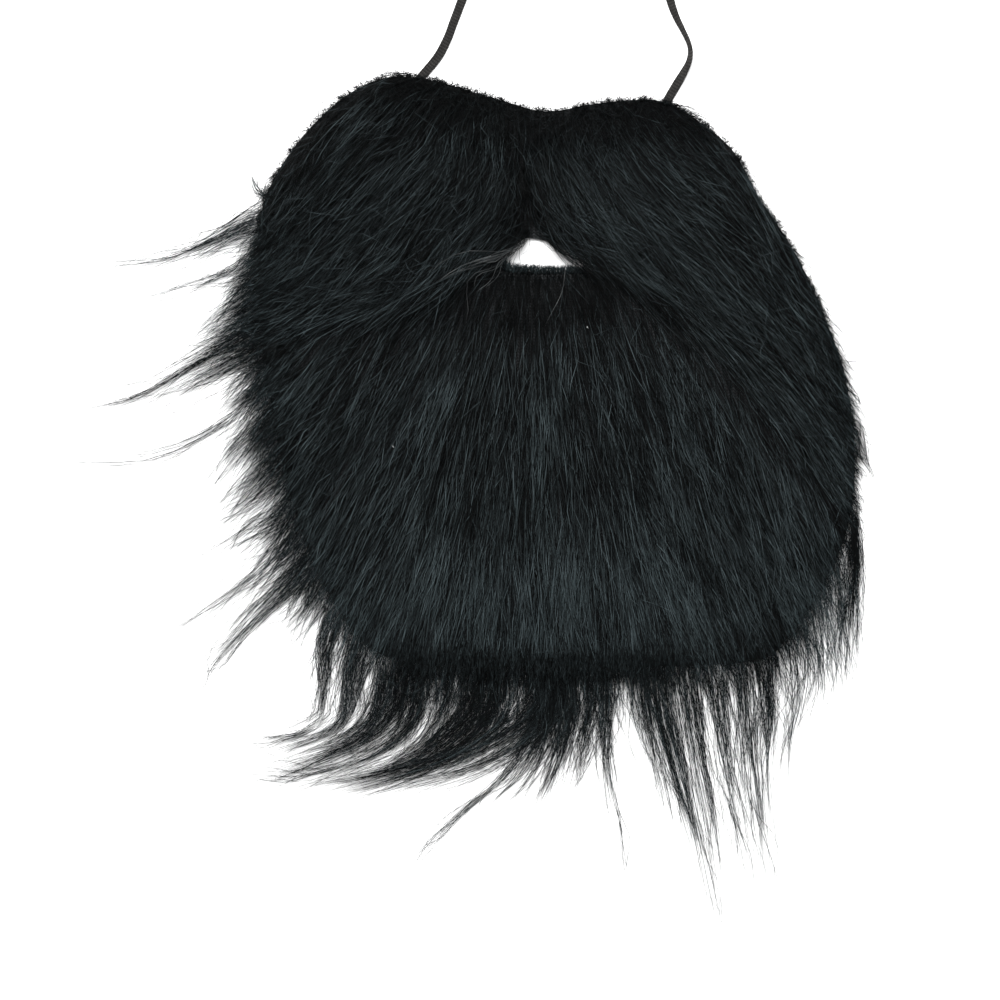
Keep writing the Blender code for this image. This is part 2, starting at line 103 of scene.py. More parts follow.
# Wisps: how many hairs; half a wisp's width at its roots and at its tips in millimetres; how light
# its hairs are; and five places across and up along its middle, in millimetres.
# Past the left edge, from the moustache
LEFT_WISPS = (
    (57, 5, 3, 0.4, -91, -10, -101, -15, -119, -24, -138, -30, -168, -30),
    (52, 5, 5, 0.4, -91, -18, -101, -19, -114, -25, -126, -31, -145, -35),
    (68, 5, 4, 0.4, -89, -26, -100, -29, -109, -34, -121, -38, -140, -44),
    (78, 6, 5, 0.35, -91, -34, -102, -40, -108, -46, -114, -51, -122, -59),
    (78, 6, 5, 0.35, -93, -43, -103, -49, -111, -55, -120, -60, -131, -65),
    (68, 7, 4.5, 0.35, -93, -50, -106, -58, -122, -67, -141, -78, -166, -83),
    (73, 7, 5, 0.35, -91, -59, -103, -65, -118, -72, -135, -80, -154, -86),
    (39, 2, 3, 0.55, -92, -10, -96, -7, -99, -4, -100, 0, -102, 4),
)
# Over the mouth and each side of the parting
LEFT_LIP_WISPS = (
    (80, 2.4, 1.5, 0.1, -4.6, -5.3, -4.2, -9.5, -3.9, -13.7, -3.5, -17.2, -3.2, -20.3),
    (160, 3.6, 3.5, 0.2, -8.4, -16.4, -11.5, -23.8, -16.1, -29.7, -22.4, -34.3, -30.8, -38.1),
    (70, 2, 3, 0.2, -2.8, -17.8, -6.6, -22.4, -11.9, -26.2, -18.2, -29.7, -25.2, -33.2),
    (200, 4, 4, 0.28, -9.8, 8.8, -14, -3.5, -19.6, -15.7, -28, -26.2, -40.2, -36.8),
    (160, 3, 3.5, 0.25, -9.1, -1.8, -12.6, -12.2, -17.5, -21.3, -25.2, -29, -35.7, -36),
    (180, 5, 5, 0.35, -17.5, 15.7, -23.1, 1.8, -30.8, -11.5, -40.6, -22.8, -53.2, -32.5),
    (160, 5, 5, 0.35, -28, 15.7, -35, 3.5, -44.1, -8.8, -54.6, -18.5, -67.9, -27.6),
)
RIGHT_LIP_WISPS = (
    (170, 3.4, 3.5, 0.2, 7.7, -16.4, 13.3, -24.1, 19.9, -32.2, 25.5, -39.5, 31.5, -47.9),
    (60, 1.6, 3, 0.2, 2.1, -19.9, 5.6, -24.1, 10.5, -28.3, 17.5, -33.2, 25.2, -39.5),
    (210, 4.5, 4.5, 0.3, -3.5, 16.4, 1, 3.5, 5.9, -8.8, 12.9, -22, 22.4, -37.4),
    (130, 2.6, 3, 0.24, -4.9, 5.2, -1.4, -5.2, 2.8, -14.7, 8.4, -23.4, 16.8, -33.2),
    (230, 5, 5, 0.38, 2.8, 17.5, 11.2, 1, 21, -15.7, 34.3, -35.3, 51.8, -56.3),
    (220, 5, 5, 0.38, 11.2, 17.5, 22.4, -0.3, 35, -17.8, 50.4, -38.8, 68.6, -61.2),
    (200, 5, 5, 0.36, 22.4, 17.5, 35, 1, 48.3, -15.7, 63, -35.3, 79.8, -56.3),
)
# Pale stray fibres and two specks, which lie on top of the pile
PALE_WISPS = (
    (10, 1.6, 4, 0.35, -4.9, -24.1, -12.2, -27.6, -21, -30.1, -30.8, -33.2, -40.6, -38.8),
    (4, 0.8, 2.5, 0.36, -7, -26.9, -14, -31.1, -19.6, -38.1, -24.5, -46.5, -30.8, -57),
    (1, 0.2, 0.3, 0.44, 8.8, -26.2, 8.8, -32.5, 7.3, -38.8, 4.9, -45.8, 1.4, -53.5),
    (3, 0.2, 0.2, 0.9, 16.1, -53.2, 16.4, -53.4, 16.4, -53.7, 16.8, -53.9, 17, -54.1),
    (3, 0.2, 0.2, 0.8, -51.4, -94.5, -51.3, -94.8, -51.1, -95.2, -50.9, -95.4, -50.8, -95.5),
)
# A few hairs that reach furthest past the side and the chin
FAR_WISPS = (
    (7, 1.2, 2, 0.4, -100.8, -14, -118.3, -24.1, -135.8, -29.4, -152.2, -30.8, -166.6, -30.4),
    (6, 1.2, 2, 0.4, -100.8, -28.3, -112.7, -35, -126, -40.9, -136.5, -43, -149.8, -44.8),
    (7, 1.2, 2, 0.4, -106.8, -59.1, -121.8, -66.8, -140.7, -77.7, -154, -81.5, -165.9, -82.6),
    (7, 1.2, 2, 0.4, -100.8, -79.4, -113.7, -88.5, -135.8, -98.3, -158.2, -100.8, -179.2, -100.8),
    (6, 1.2, 2, 0.4, -92.8, -113.7, -102.2, -121.4, -112, -128.4, -120.4, -133.3, -128.8, -136.8),
    (7, 1.2, 2, 0.4, -94.5, -133.3, -105, -143.1, -114.8, -150.8, -123.9, -157.1, -134.4, -163.4),
    (7, 1.2, 2, 0.4, -94.5, -149.4, -105.7, -162, -113.4, -170.4, -118.3, -176.8, -123.9, -183),
    (14, 2, 3, 0.4, -76.3, -192.1, -84, -196.3, -92.4, -198.1, -98.7, -198.8, -106.4, -199.1),
    (14, 2, 3.5, 0.4, -66.5, -206.1, -77, -209.6, -87.5, -211.8, -97.3, -213.1, -105.7, -213.8),
    (14, 1.2, 1.5, 0.4, -14, -212.4, -24.5, -220.8, -34.3, -229.9, -40.2, -236.9, -48.3, -245.3),
    (6, 1, 1.5, 0.4, 25.2, -215.2, 27.3, -225.7, 28, -233.4, 29, -240.4, 29.4, -246.7),
    (6, 1, 1.5, 0.4, 52.5, -218.8, 56.7, -232.7, 59.5, -243.9, 62.3, -255.1, 65.8, -267.1),
    (6, 2, 2, 0.4, 63.7, -211.8, 67.2, -224, 70, -234.8, 72.8, -244.6, 75.6, -253.7),
    (6, 2, 2, 0.4, 74.2, -211.8, 76.3, -224, 78, -234.8, 79.8, -246.7, 81.2, -257.9),
    (5, 2, 2, 0.4, 89.2, -183.8, 88.2, -192.1, 86.4, -200.5, 85, -210.3, 83.3, -220.8),
)
# Past the left edge, from the cheek
SIDE_WISPS = (
    (90, 7, 6, 0.3, -84, -52.8, -92.8, -58.4, -100.1, -63.3, -105.7, -67.2, -111.3, -71),
    (80, 7, 6, 0.3, -84, -66.5, -91.7, -72.4, -98.7, -78, -104.3, -82.9, -109.2, -87.1),
    (70, 7, 6, 0.3, -84, -78.8, -91, -85, -97.3, -91.3, -102.9, -96.9, -107.8, -101.8),
    (84, 6, 5, 0.35, -86.8, -60.5, -96.6, -66.8, -104.3, -73.1, -111.3, -79.4, -118.3, -86.4),
    (30, 6, 4.5, 0.35, -88, -68, -100, -78, -112, -88, -136, -99, -179, -101),
    (84, 6, 5, 0.35, -88, -79, -97, -88, -106, -97, -113, -106, -119, -114),
    (72, 5.5, 5, 0.35, -86, -89, -94, -98, -102, -106, -108, -113, -117, -121),
    (72, 5.5, 4, 0.35, -85, -97, -93, -106, -103, -114, -113, -120, -124, -128),
    (72, 5.5, 4, 0.35, -83, -108, -91, -118, -100, -124, -108, -130, -117, -135),
    (84, 6, 3.5, 0.35, -80, -118, -89, -128, -99, -138, -110, -147, -136, -164),
    (120, 6, 3, 0.35, -76, -130, -85, -140, -97, -151, -109, -164, -123, -182),
    (60, 5, 4, 0.35, -74, -138, -80, -146, -85, -154, -91, -160, -96, -167),
    (8, 2, 4, 0.4, -89, -69, -100, -78, -112, -88, -136, -99, -179, -101),
    (14, 3, 4, 0.4, -80, -118, -89, -128, -99, -138, -110, -147, -136, -164),
    (17, 3, 3, 0.4, -76, -130, -85, -140, -97, -151, -109, -164, -123, -182),
)
# Past the edge of the chin and the right cheek
FRINGE_WISPS = (
    (30, 1.5, 1.5, 0.35, -70, -144, -76, -158, -77, -173, -77, -189, -84, -197),
    (47, 3, 3.5, 0.35, -66, -147, -73, -163, -75, -180, -79, -192, -105, -200),
    (47, 3, 4, 0.35, -64, -154, -68, -170, -70, -184, -74, -194, -103, -203),
    (66, 4, 4, 0.35, -60, -161, -64, -177, -66, -189, -76, -199, -101, -206),
    (119, 5, 5, 0.3, -54, -166, -55, -180, -61, -194, -77, -203, -102, -212),
    (119, 5, 5, 0.3, -48, -166, -48, -182, -54, -192, -68, -201, -99, -211),
    (112, 4, 4, 0.25, -43, -166, -42, -184, -48, -196, -63, -206, -91, -215),
    (146, 4.5, 4, 0.2, -24, -166, -24, -184, -33, -196, -50, -207, -84, -215),
    (146, 5, 4, 0.2, -18, -166, -17, -184, -26, -197, -45, -208, -78, -217),
    (139, 5, 4.5, 0.25, -1, -166, -1, -184, -12, -196, -36, -207, -92, -218),
    (100, 5, 5, 0.3, 4, -166, 4, -186, -5, -198, -27, -210, -59, -219),
    (130, 5, 5, 0.3, 2, -166, 4, -187, -1, -201, -9, -212, -21, -221),
    (128, 5, 4, 0.3, 8, -166, 10, -187, 7, -201, 2, -215, -2, -225),
    (30, 2, 1, 0.4, 0, -180, -4, -198, -14, -212, -26, -222, -44, -239),
    (100, 5, 4, 0.35, 16, -166, 18, -184, 15, -197, 12, -208, 8, -218),
    (70, 4, 2, 0.35, 24, -166, 24, -184, 23, -201, 25, -216, 28, -233),
    (70, 4, 2.5, 0.35, 35, -166, 35, -184, 39, -200, 43, -215, 48, -236),
    (101, 4.5, 2.5, 0.35, 41, -166, 42, -184, 48, -208, 53, -226, 57, -242),
    (39, 4, 2, 0.4, 45, -166, 47, -184, 53, -212, 59, -240, 66, -273),
    (65, 5, 3.5, 0.4, 52, -166, 54, -184, 57, -205, 61, -226, 65, -254),
    (65, 5, 3.5, 0.4, 61, -166, 63, -184, 66, -205, 70, -224, 76, -248),
    (65, 5, 3.5, 0.4, 70, -164, 72, -184, 74, -205, 77, -227, 80, -259),
    (78, 5, 3, 0.4, 78, -161, 80, -180, 80, -196, 79, -210, 81, -245),
    (43, 5, 3, 0.5, 88, -152, 91, -172, 90, -186, 87, -201, 84, -219),
    (34, 5, 4, 0.6, 92, -140, 96, -161, 98, -173, 98, -184, 96, -198),
    (43, 5, 4, 0.6, 99, -128, 103, -149, 105, -164, 107, -175, 108, -189),
    (49, 2, 1.5, 0.25, 108, -114, 111, -133, 111, -149, 110, -164, 107, -184),
    (80, 1.6, 1.5, 0.15, 110.6, -113.8, 110.3, -127.8, 109.6, -141.8, 108.5, -154, 107.1, -166.3),
    (37, 6.5, 6, 0.65, 93, -128, 98, -147, 101, -163, 102, -175, 104, -188),
    (37, 6.5, 6, 0.65, 103, -117, 107, -138, 108, -156, 108, -170, 107, -184),
    (18, 2, 1.5, 0.3, 110, -82, 113, -93, 114, -100, 116, -105, 118, -110),
    (47, 4, 4, 0.3, -35, -166, -33, -183, -40, -197, -54, -207, -77, -215),
    (34, 3, 3, 0.4, -10, -166, -9, -182, -17, -195, -38, -208, -74, -219),
    (100, 14, 12, 0.3, 7, -168, 7, -177, 6, -186, 3, -192, 0, -200),
    (120, 22, 20, 0.3, -31, -168, -31, -177, -33, -184, -36, -190, -42, -196),
)

# Painted highlights and painted shade on the pile: patches where its tone is raised to stand in for
# light or lowered to stand in for shade. Place across and up, half width and half height in metres, and
# how much the tone moves there.
PAINTED_LIGHT_PATCHES = (
    (0.0105, -0.1490, 0.0780, 0.0170, 0.48), (0.0100, -0.1050, 0.0900, 0.0450, 0.07),
    (-0.0077, -0.0060, 0.0070, 0.0240, -0.40), (0.0000, -0.0440, 0.0260, 0.0130, -0.42),
    (-0.0700, -0.0420, 0.0260, 0.0070, 0.06), (0.0455, -0.0385, 0.0120, 0.0100, 0.16),
    (0.0385, -0.0490, 0.0140, 0.0060, -0.18), (-0.0840, 0.0100, 0.0300, 0.0250, -0.16),
    (-0.0350, 0.0200, 0.0400, 0.0200, -0.12), (0.0700, -0.0900, 0.0250, 0.0200, -0.06),
)

# The same, for hairs whose tips end there: painted shade along the fold of the pile over the chin's
# lower edge
PAINTED_TIP_SHADE = ((0.0105, -0.1735, 0.0950, 0.0105, -0.18),)

# Stretches where the pile is combed to one side of its lines: place across and up and radius in
# metres, and degrees to the left.
TURNS = (
    (-0.0450, -0.0080, 0.0300, 18.0), (-0.0250, -0.0120, 0.0180, 22.0),
    (0.0300, -0.0200, 0.0220, -8.0), (0.0300, 0.0080, 0.0220, 6.0),
)

# Line that the hairs of the lower lip reach up to: places across, then up
LIP_LINE = ((-0.0150, -0.0125, -0.0095, 0.0000, 0.0125, 0.0210),
            (-0.0290, -0.0287, -0.0309, -0.0314, -0.0316, -0.0325))

# Depth of the pile from the roots to the cloth's edge, as shares of the way and of full depth
PILE_ALONG = (0.0, 0.12, 0.40, 0.80, 1.0)
PILE_DEPTHS = (0.34, 0.66, 1.00, 0.96, 0.62)

# Route of the elastic's middle line, from its left sewn end round to its right one:
# metres across and up, and the degrees it is turned out of the flat
STRAP_ROUTE = (
    (-0.0494, 0.0259, 0.0), (-0.0459, 0.0301, 0.0), (-0.0427, 0.0338, 0.0),
    (-0.0399, 0.0371, 0.0), (-0.0371, 0.0404, 5.0), (-0.0350, 0.0434, 15.0),
    (-0.0333, 0.0466, 25.0), (-0.0319, 0.0497, 30.0), (-0.0305, 0.0536, 30.0),
    (-0.0284, 0.0592, 25.0), (-0.0260, 0.0662, 15.0), (-0.0245, 0.0755, 5.0),
    (-0.0250, 0.0880, 0.0), (-0.0275, 0.1035, 0.0), (-0.0290, 0.1195, 0.0),
    (-0.0270, 0.1355, 0.0), (-0.0190, 0.1490, 0.0), (-0.0055, 0.1562, 0.0),
    (0.0095, 0.1578, 0.0), (0.0240, 0.1550, 0.0), (0.0365, 0.1468, 0.0),
    (0.0448, 0.1340, 0.0), (0.0475, 0.1185, 0.0), (0.0462, 0.1030, 0.0),
    (0.0445, 0.0880, 5.0), (0.0440, 0.0750, 15.0), (0.0448, 0.0670, 30.0),
    (0.0462, 0.0606, 45.0), (0.0480, 0.0557, 60.0), (0.0501, 0.0515, 72.0),
    (0.0518, 0.0480, 76.0), (0.0527, 0.0452, 76.0), (0.0528, 0.0424, 68.0),
    (0.0521, 0.0396, 56.0), (0.0505, 0.0364, 40.0), (0.0483, 0.0326, 15.0),
    (0.0458, 0.0284, 0.0), (0.0432, 0.0238, 0.0), (0.0409, 0.0198, 0.0),
    (0.0385, 0.0154, 0.0),
)

# How far past the edge the pile hangs before it reaches the floor, and its depth from there on
HANG_OVER = 0.011
WISP_DEPTH = 0.0022
HANG_CURVE = 1.4

# How high hairs start in the cloth and lie on the floor, and how soon they sink to it
HAIR_ROOT = CLOTH_THICKNESS - 0.0006
FLOOR_HEIGHT = 0.0003
SINK = 0.004

# Depth of the pile near the edge, for wisps, the dark band and the nap: metres past the edge or,
# for the nap, inside it, and shares of full depth
WISP_ROOF = ((-0.03, -0.012, 0.0), (1.0, 0.92, 0.62))
BAND_ROOF = ((-0.012, 0.0), (0.96, 0.62))
NAP_ROOF = ((0.0, 0.004, 0.014), (0.45, 0.70, 1.02))

# How finely the cloth's edge and the combing lines are divided
EDGE_POINTS = 96
ROWS = 25
UP = np.array((0.0, 0.0, 1.0))


def smooth(points, shares, closed=False):
    """Places on the smooth curve through some points, at shares of the way along it."""
    points = np.asarray(points, float)
    count = len(points)
    spans = count if closed else count - 1
    place = np.clip(np.asarray(shares, float), 0.0, 1.0) * spans
    span = np.minimum(place.astype(int), spans - 1)
    part = (place - span)[:, None]
    if closed:
        before, start, end, after = (points[(span + step) % count] for step in (-1, 0, 1, 2))
    else:
        longer = np.vstack((2 * points[0] - points[1], points, 2 * points[-1] - points[-2]))
        before, start, end, after = (longer[span + step] for step in (0, 1, 2, 3))
    leave = (end - before) / 2
    arrive = (after - start) / 2
    rest = 1 - part
    return (start * (1 + 2 * part) * rest ** 2 + leave * part * rest ** 2
            + end * part ** 2 * (3 - 2 * part) - arrive * part ** 2 * rest)


def quarter_turn(ways):
    """Unit vectors a quarter turn to the left of directions in the plane."""
    turned = np.stack((-ways[..., 1], ways[..., 0]), -1)
    return turned / np.maximum(np.linalg.norm(turned, axis=-1, keepdims=True), 1e-9)


def turn(ways, angles):
    """Directions in the plane turned left by angles."""
    cosine, sine = np.cos(angles), np.sin(angles)
    x, y = ways[..., 0], ways[..., 1]
    return np.stack((cosine * x - sine * y, sine * x + cosine * y), -1)


def distances(line):
    """How far along a line of points each of them is."""
    return np.concatenate(([0.0], np.cumsum(np.linalg.norm(np.diff(line, axis=0), axis=1))))


def on_line(line, shares):
    """Places at shares of the way along a line of points."""
    lengths = distances(line)
    goals = np.asarray(shares) * lengths[-1]
    return np.stack([np.interp(goals, lengths, side) for side in line.T], -1)


def on_cloth(rows):
    """Places given in shares of the cloth's width and height."""
    return np.array(rows, float) * (CLOTH_WIDTH, CLOTH_HEIGHT)


def shares_of(rows):
    """Shares from a hair's root to its tip, for all hairs at once."""
    return np.linspace(0.0, 1.0, rows)[None]


def raised(flat, height):
    """Paths in the plane, with a height at each point."""
    return np.concatenate((flat, height[..., None]), 2)


def new_object(name, data):
    """An object in the scene."""
    holder = bpy.data.objects.new(name, data)
    bpy.context.scene.collection.objects.link(holder)
    return holder


class ClothEdge:
    """The cloth's edge, measured by the share of the way round from the dip, clockwise."""

    def __init__(self):
        shares = np.arange(EDGE_POINTS) / EDGE_POINTS
        self.points = smooth(on_cloth(CLOTH_OUTLINE), shares, closed=True)
        self.loop = np.vstack((self.points, self.points[:1]))
        self.lengths = distances(self.loop)

    def spans(self, shares):
        """Which stretch of the edge each share falls in, and how far along it."""
        goal = (np.atleast_1d(np.asarray(shares, float)) % 1.0) * self.lengths[-1]
        span = np.searchsorted(self.lengths, goal, side="right") - 1
        span = np.clip(span, 0, EDGE_POINTS - 1)
        return span, (goal - self.lengths[span]) / np.diff(self.lengths)[span]

    def at(self, shares):
        """Places on the edge."""
        span, part = self.spans(shares)
        return self.loop[span] + (self.loop[span + 1] - self.loop[span]) * part[:, None]

    def outward(self, shares):
        """Unit vectors that point out of the cloth."""
        span = self.spans(shares)[0]
        return quarter_turn(self.loop[span + 1] - self.loop[span])

    def stretch(self, start, end):
        """Places along the edge from one share to another."""
        return self.at(np.linspace(start, end, 4 * ROWS))


EDGE = ClothEdge()
MOUTH = np.array(MOUTH_OUTLINE) * (MOUTH_WIDTH, MOUTH_HEIGHT) - (0.0, MOUTH_DROP)
LEFT_CORNER = MOUTH[0]
RIGHT_CORNER = MOUTH[MOUTH[:, 0].argmax()]
LIP_TOP = MOUTH[MOUTH[:, 1].argmax()]


def seam(start, line, edge_share):
    """The line from a corner of the mouth to a place on the cloth's edge."""
    curve = np.vstack((start, on_cloth(line), EDGE.at(edge_share)))
    return smooth(curve, np.linspace(0.0, 1.0, 4 * ROWS))


def outside(places):
    """How far places lie outside the cloth's edge. Inside it they are below nought."""
    shape = places.shape[:-1]
    places = places.reshape(-1, 1, 2)
    start, end = EDGE.loop[:-1][None], EDGE.loop[1:][None]
    way = end - start
    part = ((places - start) * way).sum(2) / (way ** 2).sum(2)
    foot = start + np.clip(part, 0.0, 1.0)[..., None] * way
    away = np.sqrt(((places - foot) ** 2).sum(2).min(1))
    x, y = places[..., 0], places[..., 1]
    spans_it = (start[..., 1] > y) != (end[..., 1] > y)
    rise = np.where(way[..., 1] == 0, 1e-12, way[..., 1])
    meets = start[..., 0] + (y - start[..., 1]) / rise * way[..., 0]
    within = (spans_it & (x < meets)).sum(1) % 2 == 1
    return np.where(within, -away, away).reshape(shape)


def patches(places, table):
    """The sum of soft round or oval patches at places."""
    total = np.zeros(places.shape[:-1])
    for x, y, wide, high, amount in table:
        apart = ((places[..., 0] - x) / wide) ** 2 + ((places[..., 1] - y) / high) ** 2
        total += amount * np.exp(-apart)
    return total


def hang(depth, past):
    """How high pile of some depth stands, metres past the cloth's edge."""
    drop = np.exp(-(np.maximum(past, 0.0) / HANG_OVER) ** HANG_CURVE)
    return WISP_DEPTH + (depth - WISP_DEPTH) * drop


def lowest(past):
    """How high the lowest hairs lie, metres past the cloth's edge."""
    return HAIR_ROOT * np.exp(-np.maximum(past, 0.0) / SINK) + FLOOR_HEIGHT


class Comb:
    """The lines one stretch of pile is combed along, from side to side.

    A place across is a line's number, from 0 at the near side. A place along is 0 at the roots
    and 1 where the hair leaves the cloth.
    """

    def __init__(self, lines, depth, inward=0.0, straight=0.0):
        """inward is the side the outermost hairs turn to, and straight how straight hairs lie."""
        self.lines = np.array(lines)
        self.depth = depth
        self.inward = inward
        self.straight = straight
        self.last = len(self.lines) - 1
        self.lengths = np.linalg.norm(np.diff(self.lines, axis=1), axis=2).sum(1)
        ends = self.lines[:, -1] - self.lines[:, -2]
        self.onward = ends / np.linalg.norm(ends, axis=1, keepdims=True)

    def length(self, across):
        return np.interp(across, np.arange(self.last + 1), self.lengths)

    def at(self, across, along):
        """Places on the combing lines. Past the cloth's edge they run straight on."""
        across, along = np.broadcast_arrays(across, along)
        across = np.clip(across, 0.0, self.last)
        left = np.minimum(across.astype(int), self.last - 1)
        side = (across - left)[..., None]
        row = np.clip(along, 0.0, 1.0) * (ROWS - 1)
        low = np.minimum(row.astype(int), ROWS - 2)
        part = (row - low)[..., None]

        def on(number):
            return self.lines[number, low] * (1 - part) + self.lines[number, low + 1] * part

        past = np.maximum(along - 1.0, 0.0)[..., None]
        onward = self.onward[left] * (1 - side) + self.onward[left + 1] * side
        reach = self.length(across)[..., None]
        return on(left) * (1 - side) + on(left + 1) * side + onward * past * reach

    def scatter(self, count, rng):
        """Places across and along, spread evenly over the cloth that the comb covers."""
        corner = self.lines
        first = corner[1:, 1:] - corner[:-1, :-1]
        second = corner[1:, :-1] - corner[:-1, 1:]
        areas = np.abs(first[..., 0] * second[..., 1] - first[..., 1] * second[..., 0])
        cells = rng.choice(areas.size, count, p=areas.ravel() / areas.sum())
        line, row = np.unravel_index(cells, areas.shape)
        return line + rng.random(count), (row + rng.random(count)) / (ROWS - 1)

    def roof(self, along, past):
        """How high the pile stands, at places along and metres past the cloth's edge."""
        return hang(self.depth * np.interp(along, PILE_ALONG, PILE_DEPTHS), past)


def four_sided(near, far, roots, leaves, count):
    """Lines that turn evenly from one side of a stretch of cloth to the other."""
    along = np.linspace(0.0, 1.0, ROWS)
    near, far = on_line(near, along), on_line(far, along)
    lines = []
    for across in np.linspace(0.0, 1.0, count):
        root = on_line(roots, across)
        leave = on_line(leaves, across)
        sides = near * (1 - across) + far * across
        ends = root + (leave - root) * along[:, None]
        start = near[0] * (1 - across) + far[0] * across
        stop = near[-1] * (1 - across) + far[-1] * across
        lines.append(sides + ends - start - (stop - start) * along[:, None])
    return lines


def cheek_comb(corner, seam_line, seam_end, top, hump, ear, count, inward, straight):
    """Lines from the parting and the top edge out over one half of the moustache."""
    parting = smooth(np.vstack((EDGE.at(PARTING_TOP), on_cloth(PARTING), LIP_TOP)),
                     np.linspace(0.0, 1.0, ROWS))
    near = np.vstack((parting, seam(corner, seam_line, seam_end)))
    lines = four_sided(near, EDGE.stretch(hump, ear), EDGE.stretch(top, hump),
                       EDGE.stretch(seam_end, ear), count)
    return Comb(lines, CHEEK_PILE_DEPTH, inward, straight)


def chin_comb():
    """Lines from under the moustache and the lower lip to the edge of the chin and cheeks."""
    left = seam(LEFT_CORNER, LEFT_SEAM_LINE, LEFT_SEAM)[::-1]
    right = seam(RIGHT_CORNER, RIGHT_SEAM_LINE, RIGHT_SEAM)
    under = MOUTH[MOUTH[:, 0].argmax():]
    lip = np.vstack((MOUTH[:1], under[::-1]))
    lines = []
    shares = np.linspace(0.0, 1.0, ROWS)[:, None]
    for place, leave in CHIN_LINES:
        stretch = (left, lip, right)[min(int(place), 2)]
        root = on_line(stretch, place - min(int(place), 2))
        end = EDGE.at(leave)[0]
        lines.append(root + (end - root) * shares)
    return Comb(lines, CHIN_PILE_DEPTH)


# Hairs: how many steps of tone there are, the lightest tone, and a hair's sides
LANES = 64
LAST_TONE = 0.999
SIDES = 3


def hair_mesh(name, batches, material):
    """One mesh of many hairs, each a closed spindle of three sides along its own path."""
    corners, faces, sizes, maps = [], [], [], []
    total = 0
    for paths, radii, tones in batches:
        count, rows = paths.shape[:2]
        ways = np.gradient(paths, axis=1)
        ways /= np.linalg.norm(ways, axis=2, keepdims=True)
        beside = np.cross(ways, UP)
        beside /= np.maximum(np.linalg.norm(beside, axis=2, keepdims=True), 1e-6)
        above = np.cross(beside, ways)
        turns = 2 * math.pi * np.arange(SIDES) / SIDES
        round_it = (np.cos(turns)[:, None] * beside[:, 1:-1, None]
                    + np.sin(turns)[:, None] * above[:, 1:-1, None])
        rings = paths[:, 1:-1, None] + radii[:, 1:-1, None, None] * round_it
        points = np.concatenate((paths[:, :1], rings.reshape(count, -1, 3), paths[:, -1:]), 1)

        one, sides, along = one_hair(rows)
        loops = one[None] + (total + np.arange(count) * points.shape[1])[:, None]
        lanes = np.clip((tones * LANES).astype(int), 0, LANES - 1)
        across = (lanes[:, None] + 0.1 + 0.8 * sides[None]) / LANES
        maps.append(np.stack((across, np.broadcast_to(along, across.shape)), -1).reshape(-1, 2))
        corners.append(points.reshape(-1, 3))
        faces.append(loops.ravel())
        sizes.append(np.tile([3] * SIDES + [4] * SIDES * (rows - 3) + [3] * SIDES, count))
        total += count * points.shape[1]
    return mesh_of(name, np.vstack(corners), np.concatenate(faces), np.concatenate(sizes),
                   np.vstack(maps), material)


def one_hair(rows):
    """The corners of one hair's faces, and where each is round it and along it."""
    loops, sides, along = [], [], []
    rings = rows - 2

    def corner(ring, side):
        if ring < 0:
            return 0
        if ring == rings:
            return 1 + SIDES * rings
        return 1 + SIDES * ring + side % SIDES

    for ring in range(-1, rings):
        for side in range(SIDES):
            face = [(ring, side), (ring + 1, side), (ring + 1, side + 1), (ring, side + 1)]
            if ring < 0:
                face.pop()
            if ring == rings - 1:
                face.pop(2)
            for place, turn_round in face:
                loops.append(corner(place, turn_round))
                sides.append(turn_round / SIDES)
                along.append((place + 1) / (rows - 1))
    return np.array(loops), np.array(sides), np.array(along)


def mesh_of(name, corners, loops, sizes, places, material):
    """A mesh in the scene, from its corners, its faces' corners and sizes, and its map."""
    mesh = bpy.data.meshes.new(name)
    mesh.vertices.add(len(corners))
    mesh.vertices.foreach_set("co", corners.astype(np.float32).ravel())
    mesh.loops.add(len(loops))
    mesh.loops.foreach_set("vertex_index", loops.astype(np.int32))
    mesh.polygons.add(len(sizes))
    starts = np.concatenate(([0], np.cumsum(sizes)[:-1]))
    mesh.polygons.foreach_set("loop_start", starts.astype(np.int32))
    mesh.polygons.foreach_set("use_smooth", np.ones(len(sizes), bool))
    layer = mesh.uv_layers.new(name="OFBake")
    layer.data.foreach_set("uv", places.astype(np.float32).ravel())
    mesh.update(calc_edges=True)
    mesh.materials.append(material)
    return new_object(name, mesh)


def taper(count, rows, thickness, rng, fine=0.25):
    """Half widths of hairs: full from near the root, and fine at the tip."""
    share = np.linspace(0.0, 1.0, rows)
    shape = (1 - (1 - fine) * share ** 2.2) * np.minimum(1.0, 0.55 + share * 3)
    return thickness * rng.uniform(0.7, 1.35, count)[:, None] * shape[None]


def stray(paths, amount, rng):
    """Moves hairs gently aside, each along its own slow wave."""
    count, rows = paths.shape[:2]
    share = shares_of(rows)
    turns = rng.uniform(0.4, 1.3, (count, 1))
    start = rng.uniform(0.0, 2 * math.pi, (count, 1))
    wave = np.sin(2 * math.pi * turns * share + start) - np.sin(start)
    size = amount * rng.normal(0.0, 1.0, (count, 1))
    aside = quarter_turn(np.gradient(paths[..., :2], axis=1))
    paths[..., :2] += aside * (wave * size * np.minimum(1.0, 2 * share))[..., None]
    return paths


def fan(flat, angles):
    """Turns each hair's path about its root."""
    root = flat[:, :1]
    return root + turn(flat - root, angles[:, None])


# A combing line is never taken to be shorter than this
SHORTEST_LINE = 0.004

# Rows of points along each kind of hair, half its width and how far it strays, in metres
BODY_ROWS, BODY_HAIR, BODY_STRAY = 5, 0.00012, 0.0009
ROOT_ROWS, ROOT_HAIR, ROOT_STRAY = 5, 0.00011, 0.0008
LIP_ROWS, LIP_HAIR = 4, 0.00012
WISP_HAIR, WISP_STRAY = 0.000085, 0.0015
SHORT_ROWS, BAND_HAIR, BAND_STRAY = 4, 0.00011, 0.0004
FLUFF_HAIR, NAP_HAIR = 0.00012, 0.0001
LOOSE_HAIR, LOOSE_STRAY = 0.00009, 0.0016

